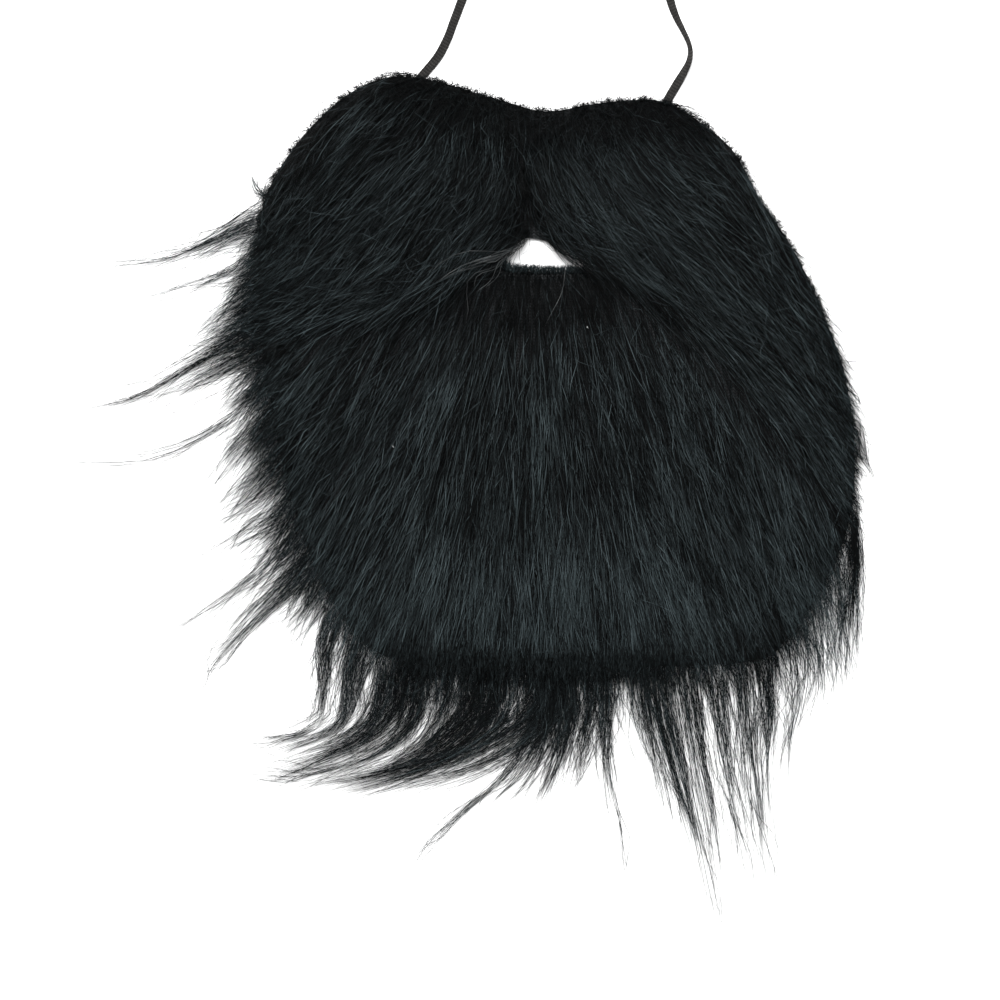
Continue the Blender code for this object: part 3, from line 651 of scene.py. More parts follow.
# The body's hairs: their length, how many tufts there are to a hair, how far its tone moves by
# itself and with its tuft, how far it fans out by itself and with its tuft in radians, and the
# place across past which the outermost hairs turn inward. CHUNK hairs find their tufts at a time.
BODY_LENGTH = 0.040
TUFT_SHARE = 0.13
CHUNK = 1000
BODY_TONE, TONE_SPREAD, TUFT_TONE = 0.34, 0.22, 0.21
FAN_SPREAD, TUFT_FAN = 0.08, 0.10
OUTER = 0.75


def body_hairs(comb, count, over, rng):
    """Hairs rooted all over the comb's cloth, gathered into small tufts.

    over gives how far past the edge they reach on average, in metres, at even steps across.
    """
    across, along = comb.scatter(count, rng)
    roots = comb.at(across, along)
    tufts = int(count * TUFT_SHARE)
    tuft_across, tuft_along = comb.scatter(tufts, rng)
    tuft_roots = comb.at(tuft_across, tuft_along)
    nearest = np.empty(count, int)
    for start in range(0, count, CHUNK):
        some = roots[start:start + CHUNK]
        apart = ((some[:, None] - tuft_roots[None]) ** 2).sum(2)
        nearest[start:start + CHUNK] = apart.argmin(1)

    reach = np.maximum(comb.length(across), SHORTEST_LINE)
    own = BODY_LENGTH * rng.uniform(0.5, 1.3, count)
    over = np.interp(across / comb.last, np.linspace(0.0, 1.0, len(over)), over)
    end = np.minimum(along + own / reach, 1.0 + rng.exponential(over) / reach)
    end = np.maximum(end, along + 0.008 / reach)
    share = shares_of(BODY_ROWS)
    run = along[:, None] + (end - along)[:, None] * share

    pull = rng.uniform(0.1, 0.95, count)[:, None] * share ** 1.2
    place = across[:, None] + (tuft_across[nearest] - across)[:, None] * pull
    flat = comb.at(place, run)
    straight = flat[:, :1] + (flat[:, -1:] - flat[:, :1]) * share[..., None]
    flat += (straight - flat) * comb.straight
    angles = rng.normal(0.0, TUFT_FAN, tufts)[nearest] + rng.normal(0.0, FAN_SPREAD, count)
    if comb.inward:
        outer = across > OUTER * comb.last
        angles = np.where(outer, comb.inward * np.abs(angles), angles)
    round_turns = [(x, y, size, size, degrees) for x, y, size, degrees in TURNS]
    flat = fan(flat, angles + np.radians(patches(roots, round_turns)))

    past = (run - 1.0) * reach[:, None]
    lift = rng.uniform(0.70, 1.08, tufts)[nearest][:, None]
    roof = comb.roof(run, past) * lift
    lie = rng.beta(1.8, 1.2, count)[:, None]
    floor = lowest(past)
    height = floor + np.maximum(roof - floor, FLOOR_HEIGHT) * lie * (1 - (1 - share) ** 2.4)
    height[:, 0] = HAIR_ROOT
    paths = raised(flat, height)
    paths = stray(paths, BODY_STRAY, rng)
    tones = rng.normal(BODY_TONE, TONE_SPREAD, count) + rng.normal(0.0, TUFT_TONE, tufts)[nearest]
    # Painted highlights and painted shade: tones raised or lowered in patches, and lowered for tips that
    # end on the chin's edge
    tones += patches(flat[:, BODY_ROWS // 2], PAINTED_LIGHT_PATCHES) + patches(flat[:, -1], PAINTED_TIP_SHADE)
    tones = np.clip(tones, 0.0, LAST_TONE)
    return paths, taper(count, BODY_ROWS, BODY_HAIR, rng), tones


def root_hairs(comb, count, rng, bulge=0.0024):
    """Short hairs crowded at the start of a comb, which stand up and lean back before they lie."""
    across = rng.uniform(0.0, comb.last, count)
    reach = np.maximum(comb.length(across), SHORTEST_LINE)
    along = np.minimum(rng.exponential(0.0025, count) / reach, 0.5)
    own = rng.uniform(0.010, 0.024, count)
    share = shares_of(ROOT_ROWS)
    run = along[:, None] + (own / reach)[:, None] * share ** 1.4
    flat = fan(comb.at(across[:, None], np.minimum(run, 1.2)), rng.normal(0.0, 0.16, count))
    way = comb.at(across, along + 0.1) - comb.at(across, along)
    way /= np.linalg.norm(way, axis=1, keepdims=True)
    back = bulge * rng.uniform(0.2, 1.3, count)[:, None] * np.sin(math.pi * np.minimum(1.0, share * 1.4))
    flat = flat - way[:, None] * back[..., None]
    lie = rng.uniform(0.3, 1.0, count)[:, None]
    roof = np.maximum(comb.roof(run, 0.0 * run), comb.depth * 0.45)
    height = HAIR_ROOT + (roof - HAIR_ROOT) * lie * (1 - (1 - share) ** 3.0)
    paths = raised(flat, height)
    tones = np.clip(rng.normal(0.16, 0.12, count), 0.0, LAST_TONE)
    return stray(paths, ROOT_STRAY, rng), taper(count, ROOT_ROWS, ROOT_HAIR, rng), tones


def lip_hairs(count, rng):
    """Short hairs along the lower lip, which lean up over the slit to a blunt line."""
    under = MOUTH[MOUTH[:, 0].argmax():]
    lip = smooth(np.vstack((under, MOUTH[:1])), np.linspace(0.0, 1.0, 4 * ROWS))
    roots = on_line(lip, rng.uniform(0.02, 0.98, count))
    roots = roots - np.stack((np.zeros(count), rng.uniform(0.0002, 0.0022, count)), -1)
    share = shares_of(LIP_ROWS)
    line = np.interp(roots[:, 0], *LIP_LINE) + rng.normal(-0.0002, 0.00045, count)
    line = np.where(rng.random(count) < 0.25, line - rng.uniform(0.0, 0.002, count), line)
    rise = np.maximum(line - roots[:, 1], 0.0008)[:, None]
    lean = rng.normal(0.0, 0.0011, (count, 1)) * share + rng.normal(0.0, 0.0005, (count, 1)) * share ** 2
    flat = roots[:, None] + np.stack((lean, rise * np.sin(share * math.pi / 2)), -1)
    height = HAIR_ROOT + rng.uniform(0.0005, 0.0055, count)[:, None] * share
    paths = raised(flat, height)
    # Their light tones are painted light, which lifts the shade that the moustache casts on them
    return paths, taper(count, LIP_ROWS, LIP_HAIR, rng), rng.uniform(0.35, 0.90, count)


# Strands to a wisp, how far to each side of it they start and end, and how far a hair strays from
# its strand at the root and at the tip, in shares of the wisp's half width
STRANDS = 7
STRAND_START, STRAND_END = 0.75, 0.9
HAIR_START, HAIR_END = 0.28, 0.35


def wisp_hairs(wisps, rng, short=1.0, on_top=False):
    """Long hairs, gathered into a few strands about the middle line of each wisp.

    The more short is above 1, the fewer of them reach the tip. Hairs that are on_top lie over all
    the others.
    """
    batches = []
    for count, wide, fine, tone, *places in wisps:
        line = np.reshape(places, (-1, 2)) / 1000
        steps = np.diff(line, axis=0)
        bend = np.abs(np.diff(np.unwrap(np.arctan2(steps[:, 1], steps[:, 0])))).sum()
        rows = int(np.clip(7 + 4 * bend, 8, 11))
        own = 0.38 + 0.62 * rng.random(count) ** short
        start = rng.uniform(0.0, 0.15, count)
        share = start[:, None] + (own - start)[:, None] * shares_of(rows)
        middle = smooth(line, share.ravel()).reshape(count, rows, 2)
        aside = quarter_turn(np.gradient(middle, axis=1))
        pick = rng.integers(0, STRANDS, count)
        seats = np.linspace(-STRAND_START, STRAND_START, STRANDS) + rng.normal(0.0, 0.12, STRANDS)
        ends = rng.uniform(-STRAND_END, STRAND_END, STRANDS)
        near = seats[pick] + rng.normal(0.0, HAIR_START, count)
        far = ends[pick] + rng.normal(0.0, HAIR_END, count)
        offset = (near[:, None] * wide * (1 - share) ** 1.1 + far[:, None] * fine * share) / 1000
        flat = middle + aside * offset[..., None]

        past = outside(flat)
        depth = CHIN_PILE_DEPTH * np.interp(past, *WISP_ROOF)
        roof, floor = hang(depth, past), lowest(past)
        lie = rng.beta(1.6, 1.3, count)[:, None]
        rise = 1 - (1 - shares_of(rows)) ** 5
        if on_top:
            lie = rng.uniform(1.0, 1.12, count)[:, None]
            rise = np.ones((1, rows))
        height = floor + np.maximum(roof - floor, 0.0002) * lie * rise
        wave = min(WISP_STRAY, 0.03 * distances(line)[-1])
        paths = stray(raised(flat, height), wave, rng)
        tones = np.clip(rng.normal(tone, 0.05 if on_top else 0.17, count), 0.0, LAST_TONE)
        batches.append((paths, taper(count, rows, WISP_HAIR, rng, 0.6), tones))
    return batches


def band_hairs(start, end, count, rng):
    """Short hairs that fold over a stretch of the chin's edge, thinner towards its ends. Their tones,
    darker than the pile beside them, are painted shade for the fold.
    """
    shares = start + (end - start) * rng.beta(1.25, 1.25, count)
    outward = EDGE.outward(shares)
    back = rng.triangular(-0.0005, 0.002, 0.0095, count)[:, None]
    way = turn(outward, rng.normal(0.0, 0.20, count))
    size = rng.uniform(0.004, 0.009, count)[:, None]
    share = shares_of(SHORT_ROWS)
    flat = (EDGE.at(shares) - outward * back)[:, None] + way[:, None] * (size * share)[..., None]
    past = size * share - back
    over = CHIN_PILE_DEPTH * np.interp(past, *BAND_ROOF)
    height = hang(over, past) * rng.uniform(0.9, 1.12, (count, 1))
    paths = stray(raised(flat, height), BAND_STRAY, rng)
    return paths, taper(count, SHORT_ROWS, BAND_HAIR, rng), rng.uniform(0.05, 0.55, count)


def curls(start, way, size, height, rise, thickness, tones, rng):
    """Short soft hairs that each curl to one side."""
    count = len(start)
    share = shares_of(SHORT_ROWS)
    curl = rng.normal(0.0, 1.0, count)[:, None] * share
    steps = turn(np.broadcast_to(way[:, None], (count, SHORT_ROWS, 2)), curl)
    flat = start[:, None] + steps * (size[:, None] * share)[..., None]
    heights = np.maximum(height[:, None] + rise[:, None] * share, 0.0004)
    paths = raised(flat, heights)
    return paths, taper(count, SHORT_ROWS, thickness, rng), tones


def edge_fluff(start, end, tufts, rng, hairs=7):
    """Fluff in small tufts along a stretch of the cloth's edge."""
    pick = np.repeat(np.arange(tufts), hairs)
    count = len(pick)
    shares = rng.uniform(start, end, tufts)[pick] + rng.normal(0.0, 0.0006, count)
    places = EDGE.at(shares) - EDGE.outward(shares) * rng.uniform(0.0, 0.0012, (count, 1))
    angles = rng.normal(0.0, 0.7, tufts)[pick] + rng.normal(0.0, 0.35, count)
    size = rng.uniform(0.0008, 0.0026, tufts)[pick] * rng.uniform(0.6, 1.2, count)
    height = rng.uniform(0.0008, 0.006, tufts)[pick] + rng.uniform(0.0, 0.001, count)
    return curls(places, turn(EDGE.outward(shares), angles), size, height,
                 rng.uniform(-0.001, 0.001, count), FLUFF_HAIR, rng.uniform(0.05, 0.45, count), rng)


def nap(start, end, count, rng):
    """Short matted pile just inside a stretch of the edge."""
    shares = rng.uniform(start, end, count)
    inside = rng.exponential(0.0045, count)
    places = EDGE.at(shares) - EDGE.outward(shares) * inside[:, None]
    way = turn(-EDGE.outward(shares), rng.normal(0.0, 1.0, count))
    roof = CHEEK_PILE_DEPTH * np.interp(inside, *NAP_ROOF)
    return curls(places, way, rng.uniform(0.002, 0.006, count), roof * rng.uniform(0.6, 1.05, count),
                 rng.uniform(-0.001, 0.001, count), NAP_HAIR, rng.uniform(0.0, 0.40, count), rng)


def loose_hairs(comb, count, rng):
    """Short hairs that cross the others on top of the pile."""
    across, along = comb.scatter(count, rng)
    reach = np.maximum(comb.length(across), SHORTEST_LINE)
    own = rng.uniform(0.006, 0.022, count)
    share = shares_of(BODY_ROWS)
    run = along[:, None] + (own / reach)[:, None] * share
    flat = fan(comb.at(across[:, None], run), rng.normal(0.0, 0.45, count))
    past = (run - 1.0) * reach[:, None]
    height = comb.roof(run, past) * rng.uniform(0.75, 1.08, count)[:, None]
    paths = stray(raised(flat, height), LOOSE_STRAY, rng)
    radii = taper(count, BODY_ROWS, LOOSE_HAIR, rng)
    return paths, radii, np.clip(rng.normal(0.45, 0.2, count), 0.0, LAST_TONE)


def combed_hairs(comb, over, body, root, loose, rng):
    """One stretch of pile: so many hairs in its body, crowded at its roots and loose on top."""
    return [body_hairs(comb, body, over, rng), root_hairs(comb, root, rng),
            loose_hairs(comb, loose, rng)]


# Colours, dark and light
PILE_COLOURS = ((0.0005, 0.0008, 0.0009), (0.070, 0.093, 0.100))
PALE_COLOURS = ((0.010, 0.012, 0.013), (0.55, 0.58, 0.58))
ELASTIC_COLOURS = ((0.004, 0.004, 0.004), (0.050, 0.047, 0.044))
KNIT_COLOURS = ((0.0015, 0.0018, 0.0020), (0.022, 0.025, 0.027))
THREAD_COLOURS = ((0.004, 0.004, 0.004), (0.045, 0.045, 0.045))

# How fast the painted glints, highlights put into the colour, come along a fibre, and how far they shift
# from tone to tone
PAINTED_GLINTS = 15.0
PAINTED_GLINT_SHIFT = 230.0


def new_group(name, inputs, outputs):
    """A node group with its sockets, and the nodes that stand for them."""
    group = bpy.data.node_groups.new(name, "ShaderNodeTree")
    for side, sockets in (("INPUT", inputs), ("OUTPUT", outputs)):
        for label, kind in sockets:
            group.interface.new_socket(label, in_out=side, socket_type="NodeSocket" + kind)
    return group, group.nodes.new("NodeGroupInput"), group.nodes.new("NodeGroupOutput")


def worked_out(group, operation, *values):
    """The socket of one sum in a group, of numbers and other sockets."""
    node = group.nodes.new("ShaderNodeMath")
    node.operation = operation
    for socket, value in zip(node.inputs, values):
        if isinstance(value, (int, float)):
            socket.default_value = value
        else:
            group.links.new(value, socket)
    return node.outputs[0]


def moved(group, value, taken, given, kind="LINEAR"):
    """The socket of a value moved from one range into another."""
    node = group.nodes.new("ShaderNodeMapRange")
    node.interpolation_type = kind
    for label, number in zip(("From Min", "From Max", "To Min", "To Max"), (*taken, *given)):
        node.inputs[label].default_value = number
    group.links.new(value, node.inputs["Value"])
    return node.outputs["Result"]


def between(group, amount, into):
    """The socket of a colour between a group's Dark and its Light."""
    mix = group.nodes.new("ShaderNodeMix")
    mix.data_type = "RGBA"
    group.links.new(amount, mix.inputs["Factor"])
    group.links.new(into.outputs["Dark"], mix.inputs["A"])
    group.links.new(into.outputs["Light"], mix.inputs["B"])
    return mix.outputs["Result"]


def fibre_group():
    """How one fibre's colour, with painted glints along it, and its gloss run from its root to its tip.
    """
    group, into, out = new_group("fibre_shade",
                                 (("Fibre", "Vector"), ("Dark", "Color"), ("Light", "Color")),
                                 (("Colour", "Color"), ("Roughness", "Float")))
    split = group.nodes.new("ShaderNodeSeparateXYZ")
    group.links.new(into.outputs["Fibre"], split.inputs[0])
    lane, along = split.outputs["X"], split.outputs["Y"]
    tone = moved(group, lane, (0.15, 1.0), (0.0, 1.0), "SMOOTHSTEP")
    tip = moved(group, along, (0.1, 0.9), (0.35, 1.0))
    amount = worked_out(group, "MULTIPLY", tone, tip)
    # Painted highlights: a wave along each fibre that brightens its colour in glints here and there
    shift = worked_out(group, "MULTIPLY", lane, PAINTED_GLINT_SHIFT)
    wave = worked_out(group, "SINE", worked_out(group, "MULTIPLY_ADD", along, PAINTED_GLINTS, shift))
    painted_glint = moved(group, wave, (-1.0, 1.0), (0.45, 1.30))
    glinted_amount = worked_out(group, "MULTIPLY", amount, painted_glint)
    group.links.new(between(group, glinted_amount, into), out.inputs["Colour"])
    group.links.new(moved(group, lane, (0.0, 1.0), (0.62, 0.42)), out.inputs["Roughness"])
    return group


def thread_group():
    """Rows of slanting threads, as in a knit or a braid, where one thread is one unit each way."""
    group, into, out = new_group("thread_rows",
                                 (("Threads", "Vector"), ("Slant", "Float"),
                                  ("Dark", "Color"), ("Light", "Color")),
                                 (("Height", "Float"), ("Colour", "Color"), ("Roughness", "Float")))
    split = group.nodes.new("ShaderNodeSeparateXYZ")
    group.links.new(into.outputs["Threads"], split.inputs[0])
    part = worked_out(group, "FRACT", split.outputs["X"])
    aside = worked_out(group, "ABSOLUTE", worked_out(group, "SUBTRACT", part, 0.5))
    lean = worked_out(group, "MULTIPLY", aside, into.outputs["Slant"])
    slanted = worked_out(group, "ADD", split.outputs["Y"], lean)
    wave = worked_out(group, "SINE", worked_out(group, "MULTIPLY", slanted, math.pi))
    fall = worked_out(group, "POWER", worked_out(group, "MULTIPLY", aside, 2.0), 4.0)
    crown = worked_out(group, "SUBTRACT", 1.0, fall)
    height = worked_out(group, "MULTIPLY", worked_out(group, "ABSOLUTE", wave), crown)
    blot = group.nodes.new("ShaderNodeTexNoise")
    blot.inputs["Scale"].default_value = 0.35
    blot.inputs["Detail"].default_value = 4.0
    group.links.new(into.outputs["Threads"], blot.inputs["Vector"])
    # Painted shade: the colour is darkest in the grooves between threads and lighter on their crowns,
    # broken up by random blots
    amount = worked_out(group, "MULTIPLY", height, blot.outputs["Fac"])
    rough = worked_out(group, "SUBTRACT", 0.95, worked_out(group, "MULTIPLY", amount, 0.35))
    group.links.new(height, out.inputs["Height"])
    group.links.new(between(group, amount, into), out.inputs["Colour"])
    group.links.new(rough, out.inputs["Roughness"])
    return group


def new_material(name, source, group, dark, light, specular):
    """A material that a group colours, and its nodes for the rest: shader, group and place."""
    material = bpy.data.materials.new(name)
    material.use_nodes = True
    nodes = material.node_tree.nodes
    shader = nodes["Principled BSDF"]
    shader.inputs["Specular IOR Level"].default_value = specular
    if source == "OFBake":
        place = nodes.new("ShaderNodeUVMap")
        place.uv_map = source
        where = place.outputs["UV"]
    else:
        where = nodes.new("ShaderNodeTexCoord").outputs[source]
    effect = nodes.new("ShaderNodeGroup")
    effect.node_tree = group
    effect.inputs["Dark"].default_value = (*dark, 1.0)
    effect.inputs["Light"].default_value = (*light, 1.0)
    for name_in, name_out in (("Base Color", "Colour"), ("Roughness", "Roughness")):
        material.node_tree.links.new(effect.outputs[name_out], shader.inputs[name_in])
    return material, shader, effect, where


def pile_material(name, dark, light):
    """Hair, coloured along each fibre."""
    material, _, fibre, where = new_material(name, "OFBake", FIBRE, dark, light, 0.08)
    material.node_tree.links.new(where, fibre.inputs["Fibre"])
    return material


def thread_material(name, source, threads, slant, dark, light, depth):
    """Cloth or thread. source is the coordinates' kind, and threads how many there are to a unit."""
    material, shader, rows, where = new_material(name, source, THREADS, dark, light, 0.2)
    nodes, links = material.node_tree.nodes, material.node_tree.links
    scale = nodes.new("ShaderNodeMapping")
    scale.inputs["Scale"].default_value = (threads[0], threads[1], 1.0)
    links.new(where, scale.inputs["Vector"])
    rows.inputs["Slant"].default_value = slant
    links.new(scale.outputs["Vector"], rows.inputs["Threads"])
    bump = nodes.new("ShaderNodeBump")
    bump.inputs["Strength"].default_value = 0.6
    bump.inputs["Distance"].default_value = depth
    links.new(rows.outputs["Height"], bump.inputs["Height"])
    links.new(bump.outputs["Normal"], shader.inputs["Normal"])
    return material


def plain_material(name, colour, roughness):
    """One even colour."""
    material = bpy.data.materials.new(name)
    material.use_nodes = True
    shader = material.node_tree.nodes["Principled BSDF"]
    shader.inputs["Base Color"].default_value = (*colour, 1.0)
    shader.inputs["Roughness"].default_value = roughness
    return material


# Camera, light and floor
VIEW_SIZE = 0.350
VIEW_CENTRE = (-0.014, -0.11375)
LENS = 100.0
SENSOR = 36.0
NEAREST, FURTHEST = 0.01, 20.0
SHARP_HEIGHT = 0.005
FLOOR_SIZE = 8.0
FLOOR_DROP = 0.0004
FLOOR_COLOUR = (0.93, 0.93, 0.93)
SKY_STRENGTH = 0.48
KEY_ENERGY = 34.0
KEY_SIZE = (0.8, 0.5)
KEY_PLACE = (-0.10, 0.35, 1.25)
KEY_TILT = math.radians(-18.0)


def set_up_view():
    """The camera above the beard, the pale floor, the even sky and one lamp."""
    camera = bpy.data.cameras.new("camera")
    camera.lens = LENS
    camera.sensor_width = camera.sensor_height = SENSOR
    camera.sensor_fit = "HORIZONTAL"
    camera.clip_start, camera.clip_end = NEAREST, FURTHEST
    holder = new_object("camera", camera)
    holder.location = (*VIEW_CENTRE, SHARP_HEIGHT + VIEW_SIZE * LENS / SENSOR)
    bpy.context.scene.camera = holder

    bpy.ops.mesh.primitive_plane_add(size=FLOOR_SIZE, location=(0.0, 0.0, -FLOOR_DROP))
    floor = bpy.context.object
    floor.name = "floor"
    floor.data.materials.append(plain_material("pale_floor", FLOOR_COLOUR, 0.9))

    world = bpy.data.worlds.new("studio")
    world.use_nodes = True
    sky = world.node_tree.nodes["Background"]
    sky.inputs["Color"].default_value = (1.0, 1.0, 1.0, 1.0)
    sky.inputs["Strength"].default_value = SKY_STRENGTH
    bpy.context.scene.world = world

    key = bpy.data.lights.new("key", "AREA")
    key.energy = KEY_ENERGY
    key.shape = "RECTANGLE"
    key.size, key.size_y = KEY_SIZE
    lamp = new_object("key", key)
    lamp.location = KEY_PLACE
    lamp.rotation_euler = (KEY_TILT, 0.0, 0.0)
    bpy.context.scene.view_settings.view_transform = "Standard"


# Rows of points along the elastic, its ridges, how deep they are and how thin its edges are, as
# shares of its thickness, and its braid's threads round it and along it
STRAP_ROWS = 160
STRAP_RIDGES = 5
RIDGE_DEPTH = 0.18
THIN_EDGE = 0.35
BRAID = (10.0, 300.0)


def make_strap():
    """The elastic: a flat braid with ridges along it, following its route round."""
    route = smooth(STRAP_ROUTE, np.linspace(0.0, 1.0, STRAP_ROWS))
    lean = np.radians(np.maximum(route[:, 2], 0.0))
    ways = np.gradient(route[:, :2], axis=0)
    flat_half = (STRAP_WIDTH - STRAP_THICKNESS) / 2 * np.sin(lean)
    centre = np.column_stack((route[:, :2], STRAP_THICKNESS / 2 + flat_half))
    left = np.column_stack((quarter_turn(ways), np.zeros(STRAP_ROWS)))
    across = left * np.cos(lean)[:, None] + UP * np.sin(lean)[:, None]
    forward = np.column_stack((ways / np.linalg.norm(ways, axis=1, keepdims=True),
                               np.zeros(STRAP_ROWS)))
    out = np.cross(forward, across)

    section = []
    steps = STRAP_RIDGES * 4
    for face in (1.0, -1.0):
        for step in range(steps):
            place = (step + 0.5) / steps * 2 - 1
            wave = abs(math.sin(STRAP_RIDGES * math.pi * (step + 0.5) / steps))
            ridge = 1 - RIDGE_DEPTH * (1 - wave)
            edge = math.sqrt(max(0.0, 1 - abs(place) ** 6))
            section.append((face * place * STRAP_WIDTH / 2,
                            face * ridge * (THIN_EDGE + (1 - THIN_EDGE) * edge) * STRAP_THICKNESS / 2))
    section = np.array(section)
    sides = len(section)
    points = (centre[:, None] + section[None, :, :1] * across[:, None]
              + section[None, :, 1:] * out[:, None])
    corners = points.reshape(-1, 3)
    row, side = np.meshgrid(np.arange(STRAP_ROWS - 1), np.arange(sides), indexing="ij")
    after = (side + 1) % sides
    quads = np.stack((row * sides + side, row * sides + after,
                      (row + 1) * sides + after, (row + 1) * sides + side), -1).reshape(-1, 4)
    caps = [np.arange(sides)[::-1], (STRAP_ROWS - 1) * sides + np.arange(sides)]
    loops = np.concatenate([quads.ravel(), *caps])
    sizes = np.array([4] * len(quads) + [sides, sides])
    around = np.stack((side, side + 1, side + 1, side), -1) / sides
    length = distances(centre)
    along = np.stack((length[row], length[row], length[row + 1], length[row + 1]), -1) / length[-1]
    places = np.vstack((np.stack((around, along), -1).reshape(-1, 2), np.zeros((2 * sides, 2))))
    strap = mesh_of("elastic_loop", corners, loops, sizes, places,
                    thread_material("braided_elastic", "OFBake", BRAID, 1.0, *ELASTIC_COLOURS,
                                    depth=0.0003))
    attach(strap, "root")
    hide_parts("elastic_strap")


# The knit's wales and courses, how deep the ribs are on its back, and how far apart the cuts
# across them are
WALE = 0.0014
COURSE = 0.0011
WALE_DEPTH = 0.00018
CROSS_CUTS = 0.012
BACK = 1e-5


def make_backing():
    """The knitted cloth, with the ribs of its wales on the back."""
    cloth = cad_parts["backing_cloth"]
    mesh = bmesh.new()
    mesh.from_mesh(cloth.data)
    mesh.transform(cloth.matrix_world)
    x_low, x_high = (limit(corner.co.x for corner in mesh.verts) for limit in (min, max))
    y_low, y_high = (limit(corner.co.y for corner in mesh.verts) for limit in (min, max))
    places = np.arange(x_low + WALE / 4, x_high, WALE / 2)
    rows = np.arange(y_low + CROSS_CUTS, y_high, CROSS_CUTS)
    cuts = [((x, 0.0, 0.0), (1.0, 0.0, 0.0)) for x in places]
    cuts += [((0.0, y, 0.0), (0.0, 1.0, 0.0)) for y in rows]
    for place, way in cuts:
        back = [face for face in mesh.faces if max(corner.co.z for corner in face.verts) < BACK]
        edges = {edge for face in back for edge in face.edges}
        corners = {corner for face in back for corner in face.verts}
        bmesh.ops.bisect_plane(mesh, geom=[*corners, *edges, *back], dist=1e-6,
                               plane_co=place, plane_no=way)
    for corner in mesh.verts:
        place = (corner.co.x - places[0]) / (WALE / 2)
        groove = round(place) % 2 == 1 and abs(place - round(place)) < 0.02
        if groove and corner.co.z < BACK:
            corner.co.z += WALE_DEPTH
    bmesh.ops.triangulate(mesh, faces=mesh.faces[:])
    data = bpy.data.meshes.new("knitted_backing")
    mesh.to_mesh(data)
    mesh.free()
    backing = new_object("knitted_backing", data)
    data.materials.append(thread_material("knitted_cloth", "Object", (1 / WALE, 1 / COURSE), 1.2,
                                          *KNIT_COLOURS, depth=0.0003))
    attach(backing, "root")
    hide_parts("backing_cloth")


# The sewing thread's half thickness, its stitches, where the first one is and how far apart they
# are, how far they slant and reach to each side, and how high they lie
STITCH = 0.00013
STITCHES = 9
FIRST_STITCH, STITCH_STEP = 0.0012, 0.00042
STITCH_SLANT, STITCH_REACH = 0.0002, 0.62
STITCH_HEIGHT, STITCH_DIVE = -0.00012, 0.0004
STITCH_ROWS = 7
STITCH_SIDES = 6
THREAD_PLIES = (4000.0, 4000.0)


def make_bar_tacks():
    """The close zigzag of thread over each sewn end of the elastic, on the back of the cloth."""
    corners, faces = [], []
    for start, after in ((STRAP_ROUTE[0], STRAP_ROUTE[1]), (STRAP_ROUTE[-1], STRAP_ROUTE[-2])):
        way = np.array(after[:2]) - start[:2]
        way /= np.linalg.norm(way)
        side = np.array((-way[1], way[0]))
        for number in range(STITCHES):
            middle = np.array(start[:2]) + way * (FIRST_STITCH + STITCH_STEP * number)
            for step, share in enumerate(np.linspace(-1.0, 1.0, STITCH_ROWS)):
                lean = way * STITCH_SLANT * (1 if number % 2 else -1) * share
                place = middle + side * share * STRAP_WIDTH * STITCH_REACH + lean
                height = STITCH_HEIGHT + STITCH_DIVE * abs(share) ** 6
                ring = len(corners)
                for turn_round in np.arange(STITCH_SIDES) * 2 * math.pi / STITCH_SIDES:
                    flat = place + way * STITCH * math.cos(turn_round)
                    corners.append((*flat, height + STITCH * math.sin(turn_round)))
                if step:
                    for place_round in range(STITCH_SIDES):
                        after_it = (place_round + 1) % STITCH_SIDES
                        faces.append((ring - STITCH_SIDES + place_round, ring + place_round,
                                      ring + after_it, ring - STITCH_SIDES + after_it))
                else:
                    faces.append(tuple(range(ring, ring + STITCH_SIDES)))
            faces.append(tuple(range(ring + STITCH_SIDES - 1, ring - 1, -1)))
    data = bpy.data.meshes.new("bar_tacks")
    data.from_pydata(corners, [], faces)
    mesh = bmesh.new()
    mesh.from_mesh(data)
    bmesh.ops.recalc_face_normals(mesh, faces=mesh.faces[:])
    mesh.to_mesh(data)
    mesh.free()
    tacks = new_object("bar_tacks", data)
    data.materials.append(thread_material("sewing_thread", "Object", THREAD_PLIES, 1.0,
                                          *THREAD_COLOURS, depth=0.00005))
    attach(tacks, "root")


set_up_view()
FIBRE = fibre_group()
THREADS = thread_group()
make_strap()
make_backing()
make_bar_tacks()

rng = np.random.default_rng(20)
left_comb = cheek_comb(LEFT_CORNER, LEFT_SEAM_LINE, LEFT_SEAM, PARTING_TOP, LEFT_HUMP, LEFT_EAR,
                       count=11, inward=1.0, straight=0.3)
right_comb = cheek_comb(RIGHT_CORNER, RIGHT_SEAM_LINE, RIGHT_SEAM, PARTING_TOP - 1.0, RIGHT_HUMP,
                        RIGHT_COMB_END, count=13, inward=-1.0, straight=0.75)
chin = chin_comb()
PILE = pile_material("long_pile", *PILE_COLOURS)
PALE = pile_material("pale_fibre", *PALE_COLOURS)

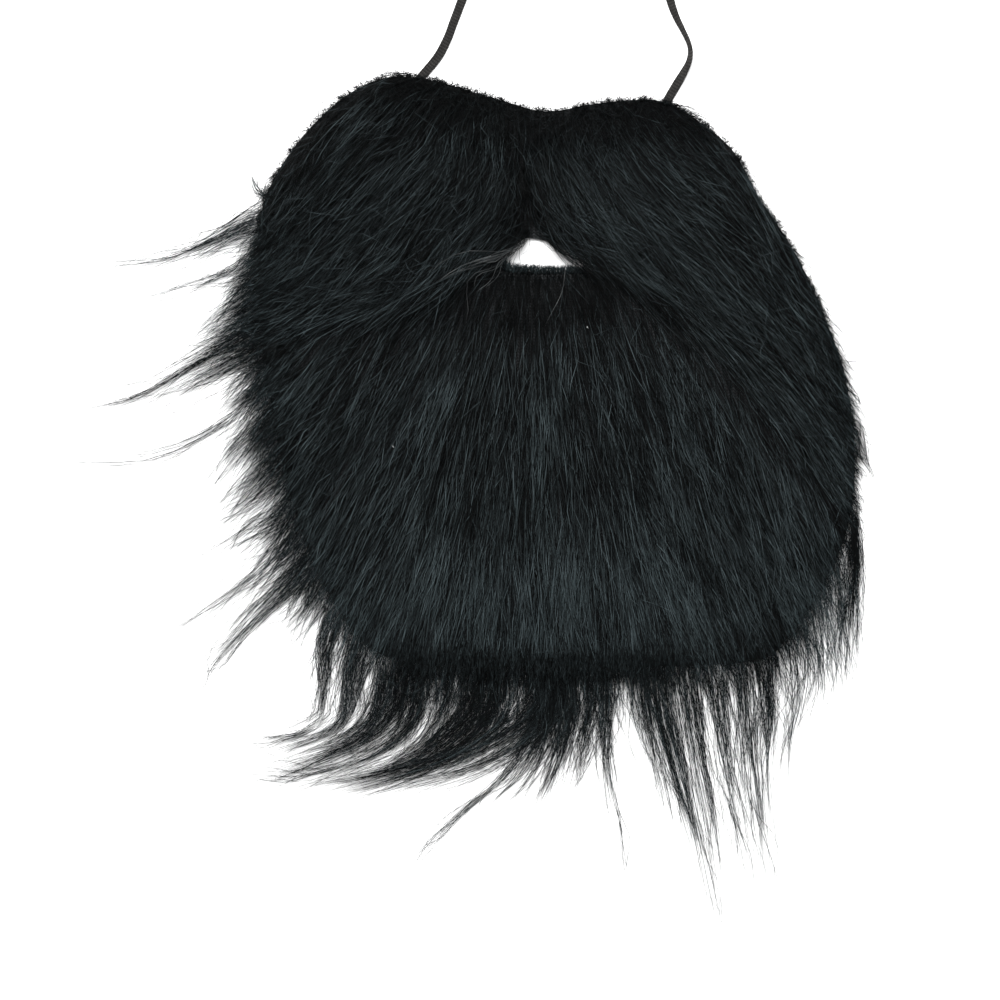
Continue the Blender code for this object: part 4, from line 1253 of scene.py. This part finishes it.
# How far past the edge hairs reach on average, in metres, at even steps across each comb
LEFT_OVER = (0.012, 0.011, 0.009, 0.005, 0.002)
RIGHT_OVER = (0.002, 0.001, 0.0008, 0.0008, 0.0008)
CHIN_OVER = (0.013, 0.013, 0.013, 0.013, 0.016, 0.017, 0.015, 0.012, 0.009, 0.006, 0.002)

# How many hairs there are: in the body of the pile, at its roots and loose on top
LEFT_HAIRS = (5400, 600, 400)
RIGHT_HAIRS = (6300, 600, 400)
OVER_HAIRS = (5200, 900, 500)
UNDER_HAIRS = 8000
LIP_HAIRS = 1200

# Stretches of the cloth's edge, and how many hairs or tufts each has
BAND = (0.425, 0.580, 2000)
UPPER_FLUFF = (0.80, 1.20, 520)
LOWER_FLUFF = (0.20, 0.80, 170)
UPPER_NAP = (0.80, 1.16, 2600)

pieces = (
    (hair_mesh("moustache_pile_left", combed_hairs(left_comb, LEFT_OVER, *LEFT_HAIRS, rng)
               + wisp_hairs(LEFT_WISPS + LEFT_LIP_WISPS, rng, short=1.9), PILE), "moustache_fur_left"),
    (hair_mesh("moustache_pile_right", combed_hairs(right_comb, RIGHT_OVER, *RIGHT_HAIRS, rng)
               + wisp_hairs(RIGHT_LIP_WISPS, rng), PILE), "moustache_fur_right"),
    (hair_mesh("chin_pile", [body_hairs(chin, UNDER_HAIRS, CHIN_OVER, rng)], PILE), "beard_fur"),
    (hair_mesh("chin_pile_over", combed_hairs(chin, CHIN_OVER, *OVER_HAIRS, rng)
               + [lip_hairs(LIP_HAIRS, rng), band_hairs(*BAND, rng)], PILE), "beard_fur"),
    (hair_mesh("beard_fringe", wisp_hairs(FRINGE_WISPS, rng)
               + wisp_hairs(SIDE_WISPS, rng, short=1.9)
               + wisp_hairs(FAR_WISPS, rng, short=0.25), PILE), "beard_fur"),
    (hair_mesh("edge_fluff", [edge_fluff(*UPPER_FLUFF, rng), edge_fluff(*LOWER_FLUFF, rng),
                              nap(*UPPER_NAP, rng)], PILE), "beard_fur"),
    (hair_mesh("stray_fibres", wisp_hairs(PALE_WISPS, rng, short=0.5, on_top=True), PALE),
     "beard_fur"),
)
for piece, node in pieces:
    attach(piece, "root")
    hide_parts(node)
